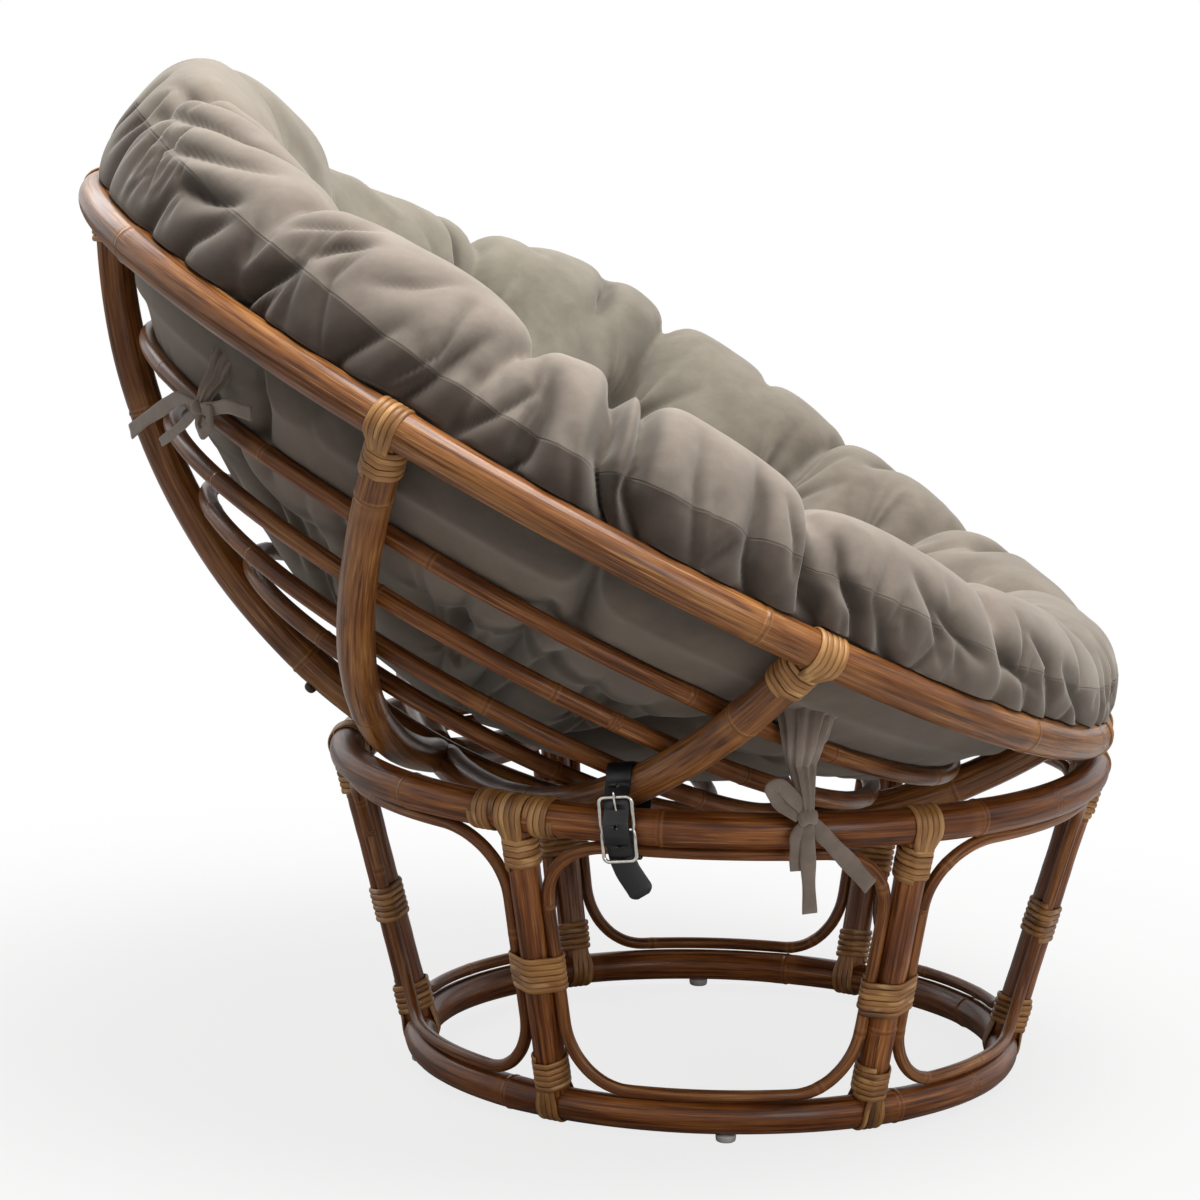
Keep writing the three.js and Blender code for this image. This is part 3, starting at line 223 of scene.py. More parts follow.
# %% Rattan material
def rattan_finish(name, dark, middle, light, fleck, gloss):
    bench = Bench(name)
    place = bench.place_of("pole_at")
    seed = bench.value_of("pole_seed") * 31.0
    knot = bench.value_of("pole_knot")
    cloud = bench.noise(bench.stretched(place, (8, 30, 30), seed), 1.0, 3.0)
    streak = bench.noise(bench.stretched(place, (10, 300, 300), seed), 1.0, 4.0, 0.65)
    fibre = bench.noise(bench.stretched(place, (16, 900, 900), seed), 1.0, 2.0, 0.6)
    patch = bench.between(bench.noise(bench.stretched(place, (7, 26, 26), seed), 1.0, 1.0), 0.4, 0.68)
    tone = cloud * 0.45 + streak * 0.62 + fibre * 0.2 - 0.14
    colour = bench.ramp(tone, [(0.28, dark), (0.48, middle), (0.7, light)])
    pale = bench.between(streak * 0.6 + fibre * 0.4, 0.54, 0.66) * patch * fleck
    colour = bench.blend(pale, colour, paint(222, 182, 128))
    groove = bench.between(streak, 0.47, 0.36) * 0.5
    colour = bench.blend(groove, colour, dark)
    scar = bench.between(knot, 0.55, 0.95)
    halo = bench.between(knot, 0.05, 0.5) * 0.4
    colour = bench.blend(halo, colour, light)
    colour = bench.blend(scar * 0.42, colour, dark)
    height = streak * 0.8 + fibre * 0.4
    return bench.done({
        "Base Color": colour, "Roughness": fibre * 0.24 + 0.22, "Coat Weight": gloss, "Coat Roughness": 0.14,
        "Specular IOR Level": gloss + 0.1, "Normal": bench.bump(height, 0.0006, 0.55)})


pole_finish = rattan_finish("rattan_pole", paint(58, 30, 13), paint(126, 76, 37), paint(186, 128, 70),
                            fleck=0.5, gloss=0.2)
base_finish = rattan_finish("rattan_base", paint(42, 20, 8), paint(116, 63, 26), paint(180, 112, 55),
                            fleck=0.3, gloss=0.15)
rod_finish = rattan_finish("rattan_rod", paint(56, 28, 13), paint(122, 72, 36), paint(176, 118, 68),
                           fleck=0.4, gloss=0.1)
print("rattan finishes:", pole_finish.name, base_finish.name, rod_finish.name)

# %% [markdown]
# ## Binding finish
# The joints are wound with peel, the pole's skin split into half-round strands. It takes less
# stain than the pole, so it stays honey coloured, and each turn differs a little from the next
# because strands of several poles are used.

# %% Binding material
def binding_finish(name, dark, middle, light):
    bench = Bench(name)
    place = bench.place_of("pole_at")
    seed = bench.value_of("pole_seed") * 31.0
    turn = bench.noise(bench.stretched(place, (17, 60, 60), seed), 1.0, 2.0)
    fibre = bench.noise(bench.stretched(place, (30, 1700, 1700), seed), 1.0, 2.0)
    # Pale patches on some turns: the peel's own pale streaks, lightened further as a painted highlight where
    # the gloss catches.
    pale_glint_streak = bench.between(bench.noise(bench.stretched(place, (34, 90, 90), seed), 1.0, 1.0), 0.58, 0.7)
    tone = turn * 0.85 + fibre * 0.35 - 0.1
    colour = bench.ramp(tone, [(0.28, dark), (0.5, middle), (0.74, light)])
    colour = bench.blend(pale_glint_streak * 0.55, colour, paint(222, 178, 118))
    return bench.done({
        "Base Color": colour, "Roughness": fibre * 0.2 + 0.36, "Coat Weight": 0.15,
        "Coat Roughness": 0.25, "Normal": bench.bump(fibre, 0.0004, 0.45)})


binding = binding_finish("binding_peel", paint(92, 56, 24), paint(166, 116, 62), paint(210, 163, 104))
low_binding = binding_finish("binding_peel_dark", paint(88, 52, 22), paint(156, 105, 52), paint(204, 150, 88))
print("binding finishes:", binding.name, low_binding.name)

# %% [markdown]
# ## Where the pieces are
# The chair has two sets of directions. Round the base, 0 degrees is the front and the angle
# grows towards the sitter's right. The bowl uses the same angles about its own axis, which
# leans forward by 27 degrees. Every rib lies on an arc about one centre, so a place in the bowl
# is an angle, a polar angle from the bowl's bottom and a distance from that centre.

# %% Directions and places
tilt = math.radians(27)
up = np.array([0, 0, 1.0])
bowl_up = np.array([0, -math.sin(tilt), math.cos(tilt)])
bowl_front = np.array([0, -math.cos(tilt), -math.sin(tilt)])
bowl_side = np.array([-1.0, 0, 0])
arc_centre = np.array([0, 3.632 * mm + shift_back, 808.13 * mm])
rim_drop = 252 * mm
rim_centre = arc_centre - bowl_up * rim_drop

bottom_ring_radius, bottom_tube = 281 * mm, 15.5 * mm
top_ring_radius, top_tube = 356.3 * mm, 16.5 * mm
bottom_ring_height, ring_rise = 21.8 * mm, 280.4 * mm
top_ring_height = bottom_ring_height + ring_rise
strut_radius, rod_radius = 14.5 * mm, 5.9 * mm
rim_radius, rim_tube = 531.4 * mm, 17.6 * mm
rib_arc, rib_radius, hoop_radius = 580 * mm, 17 * mm, 8.8 * mm
hoop_arc = rib_arc - rib_radius - 0.3 * mm - hoop_radius
hoop_angles = [51, 42.7, 34.4, 26.5]
base_middle = np.array([0, shift_back, 0])


def outward(angle):
    return np.array([-math.sin(angle), -math.cos(angle), 0])


def along_ring(angle):
    return np.array([-math.cos(angle), math.sin(angle), 0])


def on_base(angle, radius, height):
    return base_middle + outward(angle) * radius + up * height


def bowl_outward(angle):
    return bowl_front * math.cos(angle) + bowl_side * math.sin(angle)


def bowl_along(angle):
    return bowl_side * math.cos(angle) - bowl_front * math.sin(angle)


def bowl_radial(angle, polar):
    return bowl_outward(angle) * math.sin(polar) - bowl_up * math.cos(polar)


def in_bowl(angle, polar, radius):
    return arc_centre + bowl_radial(angle, polar) * radius


side_length = math.hypot(ring_rise, top_ring_radius - bottom_ring_radius)
side_lean = math.atan2(top_ring_radius - bottom_ring_radius, ring_rise)


def side_radius(along):
    return bottom_ring_radius + along * math.sin(side_lean)


def side_up(angle):
    return outward(angle) * math.sin(side_lean) + up * math.cos(side_lean)


def side_out(angle):
    return outward(angle) * math.cos(side_lean) - up * math.sin(side_lean)


def on_side(angle, along, off=0.0):
    radius = side_radius(along) + off * math.cos(side_lean)
    height = bottom_ring_height + along * math.cos(side_lean) - off * math.sin(side_lean)
    return on_base(angle, radius, height)


print("base side:", round(side_length / mm, 1), "mm long")

# %% [markdown]
# ## Meshes by sweeping
# Poles, strands, straps and wires are all one section carried along a path. One helper carries
# it and keeps, for each vertex, its place on the straightened piece. Another joins such parts
# into one object, gives it its finish and hangs it on its body. Arrays are used rather than
# curve objects, because the vertices need their own attributes.

# %% Sweep and build
def sweep(at, across, out, section, closed=False, seed=0.0, knots=None, start=0.0):
    """section is (M, 2) or (N, M, 2). Returns vertices, faces and attributes."""
    at, across, out = (np.asarray(v, float) for v in (at, across, out))
    section = np.asarray(section, float)
    if section.ndim == 2:
        section = np.repeat(section[None], len(at), 0)
    rings, sides = section.shape[:2]
    vertices = (at[:, None] + across[:, None] * section[..., :1] + out[:, None] * section[..., 1:])
    faces = []
    for i in range(rings if closed else rings - 1):
        j = (i + 1) % rings
        for k in range(sides):
            m = (k + 1) % sides
            faces.append((i * sides + k, i * sides + m, j * sides + m, j * sides + k))
    if not closed:
        faces.append(tuple(range(sides))[::-1])
        faces.append(tuple((rings - 1) * sides + k for k in range(sides)))
    lengths = np.concatenate([[0], np.cumsum(np.linalg.norm(np.diff(at, axis=0), axis=1))]) + start
    pole_at = np.concatenate([np.repeat(lengths[:, None, None], sides, 1), section], 2)
    knot = np.zeros(rings) if knots is None else np.asarray(knots)
    return {
        "vertices": vertices.reshape(-1, 3),
        "faces": faces,
        "pole_at": pole_at.reshape(-1, 3),
        "pole_seed": np.full(rings * sides, seed),
        "pole_knot": np.repeat(knot, sides),
    }


def build(name, parts, finish, body, instead_of=()):
    vertices = np.concatenate([p["vertices"] for p in parts])
    faces, first = [], 0
    for part in parts:
        faces += [tuple(i + first for i in face) for face in part["faces"]]
        first += len(part["vertices"])
    mesh = bpy.data.meshes.new(name)
    mesh.from_pydata(vertices.tolist(), [], faces)
    mesh.update()
    for key, kind in (("pole_at", "FLOAT_VECTOR"), ("pole_seed", "FLOAT"), ("pole_knot", "FLOAT")):
        layer = mesh.attributes.new(key, kind, "POINT")
        values = np.concatenate([p[key] for p in parts]).astype(np.float32)
        layer.data.foreach_set("vector" if kind == "FLOAT_VECTOR" else "value", values.ravel())
    sheet = bmesh.new()
    sheet.from_mesh(mesh)
    bmesh.ops.recalc_face_normals(sheet, faces=sheet.faces)
    sheet.to_mesh(mesh)
    sheet.free()
    mesh.polygons.foreach_set("use_smooth", [True] * len(mesh.polygons))
    mesh.materials.append(finish)
    made = bpy.data.objects.new(name, mesh)
    bpy.context.scene.collection.objects.link(made)
    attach(made, body)
    if instead_of:
        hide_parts(*instead_of)
    return made


def disc(radius, sides, start=0.0):
    turns = start + np.arange(sides) * 2 * math.pi / sides
    return np.stack([np.cos(turns), np.sin(turns)], 1) * radius


print("sweeping helpers ready")

# %% [markdown]
# ## Poles
# A real pole is nearly round, a little uneven, and slightly swollen at each scar. The path is
# a function of the length along the pole, and extra rings are placed close to each scar so
# that its fine ridge isn't lost between two rings.

# %% Pole helper
marks_near_scar = [-14, -9, -6, -4, -2.4, -1.2, 0, 1.2, 2.4, 4, 6, 9, 14]
least_step, bare_size = 0.7 * mm, 0.985


def pole(path, length, radius, seed, closed=False, sides=28, spacing=(0.2, 0.38), step=0.012):
    """path(share) gives a place and two directions across, for a share from 0 to 1."""
    chance = random.Random(seed)
    scars, here = [], chance.uniform(0.05, 0.25)
    while here < length - 0.04:
        scars.append(here)
        here += chance.uniform(*spacing)
    marks = list(np.linspace(0, length, math.ceil(length / step) + 1))
    marks += [scar + n * mm for scar in scars for n in marks_near_scar]
    marks = sorted(m for m in marks if 0 <= m <= length)
    kept = [marks[0]]
    for mark in marks[1:]:
        if mark - kept[-1] > least_step:
            kept.append(mark)
    if closed:
        kept = kept[:-1]
    marks = np.array(kept)
    phases = [chance.uniform(0, 2 * math.pi) for _ in range(3)]
    waves = zip((3, 7, 11), (0.010, 0.007, 0.006), phases)
    size = 1 + sum(a * np.sin(2 * math.pi * k * marks / length + p) for k, a, p in waves)
    knot = np.zeros(len(marks))
    swell = np.zeros(len(marks))
    for scar in scars:
        off = (marks - scar) / mm
        knot = np.maximum(knot, np.exp(-(off / 2.2) ** 2) + 0.3 * np.exp(-((off - 9) / 9) ** 2))
        swell += 0.045 * np.exp(-(off / 1.6) ** 2) + 0.022 * np.exp(-((off + 7) / 9) ** 2)
        swell -= 0.018 * np.exp(-((off - 3.6) / 1.8) ** 2)
    spots = [path(m / length) for m in marks]
    section = disc(radius, sides)[None] * (size * bare_size + swell)[:, None, None]
    return sweep([s[0] for s in spots], [s[1] for s in spots], [s[2] for s in spots],
                 section, closed, seed * 0.37, np.minimum(knot, 1))


print("pole helper ready")

# %% [markdown]
# ## Rings and struts of the base
# Two rings of thick pole carry six straight struts, which lean outward by the difference of the
# rings' radii. The struts run a little into the rings, where the coped end and its nail are
# hidden under the binding.

# %% Rings and struts
def base_ring_path(radius, height):
    def path(share):
        angle = share * 2 * math.pi + 0.6
        return on_base(angle, radius, height), up, outward(angle)
    return path


rings = [("top_ring", "base_top_ring", top_ring_radius, top_tube, top_ring_height, 3),
         ("bottom_ring", "base_bottom_ring", bottom_ring_radius, bottom_tube, bottom_ring_height, 8)]
for name, node, radius, tube, height, seed in rings:
    part = pole(base_ring_path(radius, height), radius * 2 * math.pi, tube, seed, True)
    build(name, [part], base_finish, "base", [node])

strut_turn, strut_end = 2 * math.pi / 6, 4 * mm
for i in range(6):
    angle = i * strut_turn
    low, high = on_side(angle, strut_end), on_side(angle, side_length - strut_end)
    span = np.linalg.norm(high - low)
    part = pole(lambda share: (low + (high - low) * share, along_ring(angle), side_out(angle)),
                span, strut_radius, 20 + i, spacing=(0.12, 0.3))
    build(f"strut_{i}", [part], base_finish, "base", [f"base_strut_{i}"])
print("base poles: 2 rings and 6 struts")

# %% [markdown]
# ## Window rods
# A thinner rod is bent into a closed frame between each pair of struts. It follows both rings
# and both struts, and its corners are steamed to a radius of about 62 mm. The shape is drawn
# flat first and then wrapped onto the base's cone.

# %% Window rods
window_corner = 62 * mm
window_low = bottom_tube + 0.6 * mm + rod_radius
window_high = side_length - top_tube - 0.6 * mm - rod_radius
window_off = strut_radius + 0.3 * mm + rod_radius


def window_half(along):
    return side_radius(along) * math.pi / 6 - window_off


def flat_window():
    middle = (window_low + window_high) / 2
    wide, tall = window_half(middle), (window_high - window_low) / 2
    corners = [(1, 1), (-1, 1), (-1, -1), (1, -1)]
    spots = []
    for k, (sx, sy) in enumerate(corners):
        for i in range(13):
            turn = (k + i / 12) * math.pi / 2
            spots.append((sx * (wide - window_corner) + window_corner * math.cos(turn),
                          sy * (tall - window_corner) + window_corner * math.sin(turn)))
    spots = resample(np.array(spots), 170, True)
    return [(x / wide * window_half(y + middle), y + middle) for x, y in spots]


def resample(points, count, closed=False):
    points = np.asarray(points, float)
    if closed:
        points = np.concatenate([points, points[:1]])
    steps = np.concatenate([[0], np.cumsum(np.linalg.norm(np.diff(points, axis=0), axis=1))])
    wanted = np.linspace(0, steps[-1], count + 1 if closed else count)
    if closed:
        wanted = wanted[:-1]
    return np.stack([np.interp(wanted, steps, points[:, i]) for i in range(points.shape[1])], 1)


def smoothed(values, times):
    """Each place but the two ends is averaged with its neighbours."""
    values = np.array(values, float)
    for _ in range(times):
        values[1:-1] = (values[:-2] + values[1:-1] * 2 + values[2:]) / 4
    return values


def unit(vector):
    return vector / np.linalg.norm(vector)


def frames_along(places, facing, closed=False):
    """Directions across and out of a path, where facing hints at the side that looks out."""
    places = np.asarray(places, float)
    facing = np.asarray(facing, float)
    if closed:
        tangent = np.roll(places, -1, 0) - np.roll(places, 1, 0)
    else:
        tangent = np.gradient(places, axis=0)
    tangent /= np.linalg.norm(tangent, axis=1)[:, None]
    across = np.cross(tangent, facing)
    across /= np.linalg.norm(across, axis=1)[:, None]
    return across, np.cross(across, tangent)


def window_rod(middle_angle, seed):
    spots = flat_window()
    angles = [middle_angle + x / side_radius(y) for x, y in spots]
    places = np.array([on_side(a, y) for a, (x, y) in zip(angles, spots)])
    across, out = frames_along(places, [side_out(a) for a in angles], True)
    chance = random.Random(seed)
    scars = [chance.randrange(len(places)) for _ in range(4)]
    off = np.abs(np.arange(len(places))[:, None] - np.array(scars)[None]).min(1)
    knot = np.exp(-(off / 0.8) ** 2)
    section = disc(rod_radius, 16)[None] * (bare_size + 0.04 * knot)[:, None, None]
    return sweep(places, across, out, section, True, seed * 0.41, knot)


for i in range(6):
    part = window_rod((i + 0.5) * strut_turn, 40 + i)
    build(f"window_rod_{i}", [part], rod_finish, "base", [f"base_window_rod_{i}"])
print("window rods: 6, each", len(part["vertices"]), "vertices")

# %% [markdown]
# ## Bowl frame
# The bowl has one thick rim, a long pole from front to back, four shorter ribs that meet it at
# the bottom, and four thin hoops inside the ribs that carry the cushion. All ribs are arcs
# about one centre, so the bowl could turn in any direction on the ring.

# %% Rim, ribs and hoops
rim_polar = math.atan2(rim_radius, rim_drop)


def bowl_ring_path(radius, drop, start=0.3):
    def path(share):
        angle = share * 2 * math.pi + start
        centre = arc_centre - bowl_up * drop
        return centre + bowl_outward(angle) * radius, bowl_up, bowl_outward(angle)
    return path


part = pole(bowl_ring_path(rim_radius, rim_drop), rim_radius * 2 * math.pi, rim_tube, 5, True,
            sides=32, step=0.010)
build("rim", [part], pole_finish, "bowl", ["bowl_rim"])


def rib_path(angle, first, last):
    def path(share):
        polar = first + (last - first) * share
        return in_bowl(angle, polar, rib_arc), bowl_along(angle), bowl_radial(angle, polar)
    return path


end_polar = rim_polar - 6 * mm / rib_arc
part = pole(rib_path(0, end_polar, -end_polar), rib_arc * end_polar * 2, rib_radius, 11)
build("centre_pole", [part], pole_finish, "bowl", ["bowl_centre_pole"])
ribs = {"front_left": 65, "back_left": 110, "back_right": -110, "front_right": -65}
for i, (where, degrees) in enumerate(ribs.items()):
    near_end = math.radians(1.4)
    part = pole(rib_path(math.radians(degrees), end_polar, near_end),
                rib_arc * (end_polar - near_end), rib_radius, 13 + i)
    build(f"rib_{where}", [part], pole_finish, "bowl", [f"bowl_rib_{where}"])
for i, degrees in enumerate(hoop_angles):
    polar = math.radians(degrees)
    radius, drop = hoop_arc * math.sin(polar), hoop_arc * math.cos(polar)
    part = pole(bowl_ring_path(radius, drop, i * 1.3), radius * 2 * math.pi, hoop_radius, 30 + i,
                True, sides=18, spacing=(0.16, 0.3))
    build(f"hoop_{i}", [part], rod_finish, "bowl", [f"bowl_hoop_{i}"])
print("bowl frame: rim, 5 ribs, 4 hoops")

# %% [markdown]
# ## Wound strands
# A strand is split peel: flat inside, rounded outside, about 5.5 mm wide. A neck is wound as a
# helix round whatever it ties together. The outline of that bundle is the string that would be
# pulled tight round its circles, so the turns are round over a pole and straight between two.

# %% Strand helpers
strand_pitch = 5.75 * mm
strand_section = np.array([(-2.75, -0.1), (2.75, -0.1), (2.72, 0.7), (2.2, 1.4), (1.1, 1.85),
                           (0, 1.98), (-1.1, 1.85), (-2.2, 1.4), (-2.72, 0.7)]) * mm
per_turn = 48


def pulled_tight(circles, turns):
    """Points of the string pulled tight round circles (x, y, radius), one for each direction."""
    points = []
    for turn in turns:
        ray = (math.cos(turn), math.sin(turn))
        x, y, r = max(circles, key=lambda c: c[0] * ray[0] + c[1] * ray[1] + c[2])
        points.append((x + r * ray[0], y + r * ray[1]))
    return points


def wind(circles, carrier, start, turns, seed, pitch=strand_pitch):
    """carrier(u) gives a place and three directions: x and y across the bundle, z along it."""
    all_round = np.linspace(0, 2 * math.pi, 240, endpoint=False)
    outline = resample(pulled_tight(circles, all_round), per_turn, True)
    step = np.roll(outline, -1, 0) - np.roll(outline, 1, 0)
    normal = np.stack([step[:, 1], -step[:, 0]], 1)
    normal /= np.linalg.norm(normal, axis=1)[:, None]
    chance = random.Random(seed)
    count = int(turns * per_turn)
    waver = [(chance.uniform(0, 6), chance.uniform(0.3, 0.9)) for _ in range(3)]
    places, facing = [], []
    for k in range(count + 1):
        turned = k / per_turn
        drift = sum(math.sin(turned * 2 * math.pi * f + p) for p, f in waver)
        at, x, y, z = carrier(start + turned * pitch + drift * 0.11 * mm)
        tuck = max(0.0, 1 - min(k, count - k) / 6)
        lift = drift * 0.06 * mm - tuck ** 2 * 1.7 * mm
        here = outline[k % per_turn] + normal[k % per_turn] * lift
        places.append(at + x * here[0] + y * here[1])
        facing.append(x * normal[k % per_turn][0] + y * normal[k % per_turn][1])
    across, out = frames_along(places, facing)
    return sweep(places, across, out, strand_section, seed=seed * 0.29)


print("a strand has", len(strand_section), "corners and", per_turn, "sections a turn")

# %% [markdown]
# ## Saddles
# Before a neck is wound, strands are laid side by side over the ring, and their ends run down
# both faces of the pole, where the neck then holds them. In the picture they fan in from five
# strands wide on the ring to the width of the pole.

# %% Saddle strands
def eased(value, low, high):
    share = min(1.0, max(0.0, (value - low) / (high - low)))
    return share * share * (3 - 2 * share)


def saddle(joint, tube, pole_radius, shift, leg_end, strands, seed):
    """joint is a place and three directions: u down the pole, v across it, w along the ring."""
    at, u, v, w = joint
    parts = []
    for k in range(strands):
        side = (k - (strands - 1) / 2) * strand_pitch
        narrow = side * 0.66
        leg = math.sqrt((pole_radius + 0.4 * mm) ** 2 - narrow ** 2)
        circles = [(0, 0, tube + 0.4 * mm), (leg_end, shift + leg, 0), (leg_end, shift - leg, 0)]
        if leg - shift > tube:
            circles.append((tube / 2, shift - leg, 0))
        points = pulled_tight(circles, np.linspace(0.02, 2 * math.pi - 0.02, 160))
        line = smoothed(resample(points, 44), 2)
        step = np.gradient(line, axis=0)
        places, facing = [], []
        for (x, y), (dx, dy) in zip(line, step):
            hold = eased(x, tube * 0.1, leg_end)
            places.append(at + u * x + v * y + w * (side + (narrow - side) * hold))
            lean = narrow / pole_radius * hold
            facing.append(u * dy - v * dx + w * lean * math.hypot(dx, dy))
        across, out = frames_along(places, facing)
        parts.append(sweep(places, across, out, strand_section, seed=seed + k * 0.83))
    return parts


def neck_circles(pole_radius, centre=0.0):
    leg = pole_radius + 1.3 * mm
    ring = [(0, centre, pole_radius + 0.6 * mm)]
    return ring + [(sx * 5 * mm, centre + sy * (leg - 3 * mm), 3.2 * mm) for sx in (-1, 1) for sy in (-1, 1)]


print("saddle helper ready")

# %% [markdown]
# ## Bindings of the base
# Each strut is bound at the top ring, at its waist with the two window rods beside it, and at
# the bottom ring. One joint near the back is also wound along the ring itself, on both sides of
# its saddle.

# %% Base bindings
waist_shares = [0.45, 0.42, 0.47, 0.45, 0.46, 0.44]


def strut_joint(angle, top):
    sign = -1 if top else 1
    radius, height = (top_ring_radius, top_ring_height) if top else (bottom_ring_radius, bottom_ring_height)
    return on_base(angle, radius, height), side_up(angle) * sign, side_out(angle), along_ring(angle)


def strut_binding(angle, top, strands, turns, seed):
    joint = strut_joint(angle, top)
    at, u, v, w = joint
    tube = top_tube if top else bottom_tube
    start = tube + 3.6 * mm
    parts = saddle(joint, tube, strut_radius, 0.0, start + 3 * mm, strands, seed)
    parts.append(wind(neck_circles(strut_radius), lambda s: (at + u * s, w, v, u), start, turns, seed))
    return parts


def ring_turns(angle, side, strands, turns, seed):
    def carrier(s):
        here = angle + side * s / top_ring_radius
        return (on_base(here, top_ring_radius, top_ring_height), outward(here), up, along_ring(here) * side)
    start = strands * strand_pitch / 2 + strand_pitch / 2
    return wind([(0, 0, top_tube + 0.3 * mm)], carrier, start, turns, seed)


def waist_binding(angle, share, turns, seed):
    back = window_off ** 2 / (2 * side_radius(share * side_length))
    circles = [(0, 0, strut_radius + 0.4 * mm), (window_off, -back, rod_radius + 0.4 * mm),
               (-window_off, -back, rod_radius + 0.4 * mm)]
    middle = share * side_length
    start = middle - turns * strand_pitch / 2
    return wind(circles, lambda s: (on_side(angle, s), along_ring(angle), side_out(angle), side_up(angle)),
                start, turns, seed)


for i in range(6):
    angle = i * strut_turn
    top_parts = strut_binding(angle, True, 5, 5.2, 60 + i)
    if i == 2:
        top_parts += [ring_turns(angle, side, 5, 4, 70 + side) for side in (-1, 1)]
    build(f"top_binding_{i}", top_parts, binding, "base", [f"base_top_binding_{i}"])
    build(f"waist_binding_{i}", [waist_binding(angle, waist_shares[i], 6, 80 + i)], low_binding, "base",
          [f"base_waist_binding_{i}"])
    build(f"foot_binding_{i}", strut_binding(angle, False, 4, 5.2, 90 + i), low_binding, "base",
          [f"base_foot_binding_{i}"])
print("base bindings: 18")

# %% [markdown]
# ## Bindings of the rim
# The ribs end under the rim a little inside its middle, so the saddle's inner legs lie further
# in than the outer ones. The same helper draws both, with that offset as its shift.

# %% Rim bindings
def rib_binding(angle, strands, turns, seed):
    rim_at = rim_centre + bowl_outward(angle) * rim_radius
    u = -bowl_outward(angle) * math.cos(rim_polar) - bowl_up * math.sin(rim_polar)
    v = bowl_radial(angle, rim_polar)
    shift = rib_arc - math.hypot(rim_radius, rim_drop)
    start = rim_tube + 4 * mm
    parts = saddle((rim_at, u, v, bowl_along(angle)), rim_tube, rib_radius, shift, start + 3 * mm,
                   strands, seed)

    def carrier(s):
        polar = rim_polar - s / rib_arc
        along = -bowl_outward(angle) * math.cos(polar) - bowl_up * math.sin(polar)
        return in_bowl(angle, polar, rib_arc), bowl_along(angle), bowl_radial(angle, polar), along
    parts.append(wind(neck_circles(rib_radius), carrier, start, turns, seed))
    return parts


for i, (where, degrees) in enumerate({"front": 0, **ribs, "back": 180}.items()):
    build(f"rim_binding_{where}", rib_binding(math.radians(degrees), 5, 5.2, 100 + i), binding, "bowl",
          [f"bowl_binding_{where}"])


def rim_band():
    middle = math.radians(10.5)

    def carrier(s):
        angle = middle + s / rim_radius
        return (rim_centre + bowl_outward(angle) * rim_radius, bowl_outward(angle), bowl_up,
                bowl_along(angle))
    return wind([(0, 0, rim_tube + 0.2 * mm)], carrier, -strand_pitch, 2, 107)


build("rim_band", [rim_band()], binding, "bowl", ["bowl_rim_band"])
print("rim bindings: 6 and a band")

# %% [markdown]
# ## Velvet finish
# Velvet is a cut pile: it looks light where the pile leans towards the eye and dark where it
# leans away, and its edges glow. Sheen gives part of that glow, and the rest is painted sheen:
# the half of the cushion towards the eye gets lighter pile colours, and the colour is lightened
# where the surface is seen edge-on. The patches come from noise over the cushion's bare form, and
# the side panel is cut across the pile, so it looks browner than the top. The seam is a fine
# groove in the bump. Creases and the underside beneath the cushion are darkened with painted shade.

# %% Velvet material
def velvet_finish(name, near, far, side=None):
    """near, far and side are each a dark and a light colour of the pile."""
    bench = Bench(name)
    place = bench.place_of("pole_at")
    cloud = bench.noise(place, 7.0, 4.0, 0.6)
    brushed = bench.noise(bench.stretched(place, (34, 20, 26)), 1.0, 4.0, 0.65)
    nap = bench.noise(bench.stretched(place, (1100, 1100, 1100)), 1.0, 2.0, 0.7)
    tone = bench.between(cloud * 0.5 + brushed * 0.5, 0.2, 0.8)
    # Painted sheen: the half of the cushion towards the eye gets the lighter, warmer near colours, the far
    # half the far ones.
    facing = bench.between(bench.value_of("pole_seed"), -0.5, 0.6)
    colour = bench.blend(facing, bench.blend(tone, *far), bench.blend(tone, *near))
    height = nap * 0.5 + brushed * 0.2
    if side:
        off = bench.value_of("pole_knot")
        colour = bench.blend(bench.between(off, -0.0015, 0.0015), bench.blend(tone, *side), colour)
        stitch = 1 - bench.between(bench.math("ABSOLUTE", off), 0.0003, 0.0016)
        height = height - stitch * 1.5
        colour = bench.blend(stitch * 0.12, colour, side[0])
        ahead = float(rim_centre[1]) - bench.node("ShaderNodeSeparateXYZ", None, {0: place}, out=1)
        front = bench.between(ahead, 0.02, 0.28)
        front_colour = bench.blend(tone, paint(92, 82, 74), paint(136, 124, 114))
        colour = bench.blend(front * 0.55, colour, front_colour)
        low = 1 - bench.between(off, -0.15, -0.11)
        low_colour = bench.blend(tone, paint(92, 79, 68), paint(126, 111, 98))
        colour = bench.blend(low * 0.8, colour, low_colour)
        # Painted shade: the underside far below the seam, beneath the cushion, is darkened towards dark
        # brown.
        deep = 1 - bench.between(off, -0.5, -0.24)
        underside_shade_colour = bench.blend(tone, paint(52, 43, 36), paint(84, 72, 62))
        colour = bench.blend(deep * 0.75, colour, underside_shade_colour)
    # Painted shade: the colour darkens towards dark brown in the folds and creases, by how deep they are
    # drawn in.
    crease_shade = bench.value_of("crease_shade")
    colour = bench.blend(bench.between(crease_shade, 0.0, 1.0) * 0.62, colour, paint(52, 44, 38))
    # Painted sheen: the colour is lightened towards pale grey where the surface is seen edge-on.
    painted_edge_sheen = bench.node("ShaderNodeLayerWeight", None, {"Blend": 0.38}, "Facing")
    colour = bench.blend(painted_edge_sheen * 0.34, colour, paint(196, 188, 176))
    return bench.done({
        "Base Color": colour, "Roughness": nap * 0.15 + 0.8, "Sheen Weight": 0.35,
        "Sheen Roughness": 0.4, "Sheen Tint": (0.92, 0.88, 0.83, 1), "Specular IOR Level": 0.12,
        "Normal": bench.bump(height, 0.0006, 0.6)})


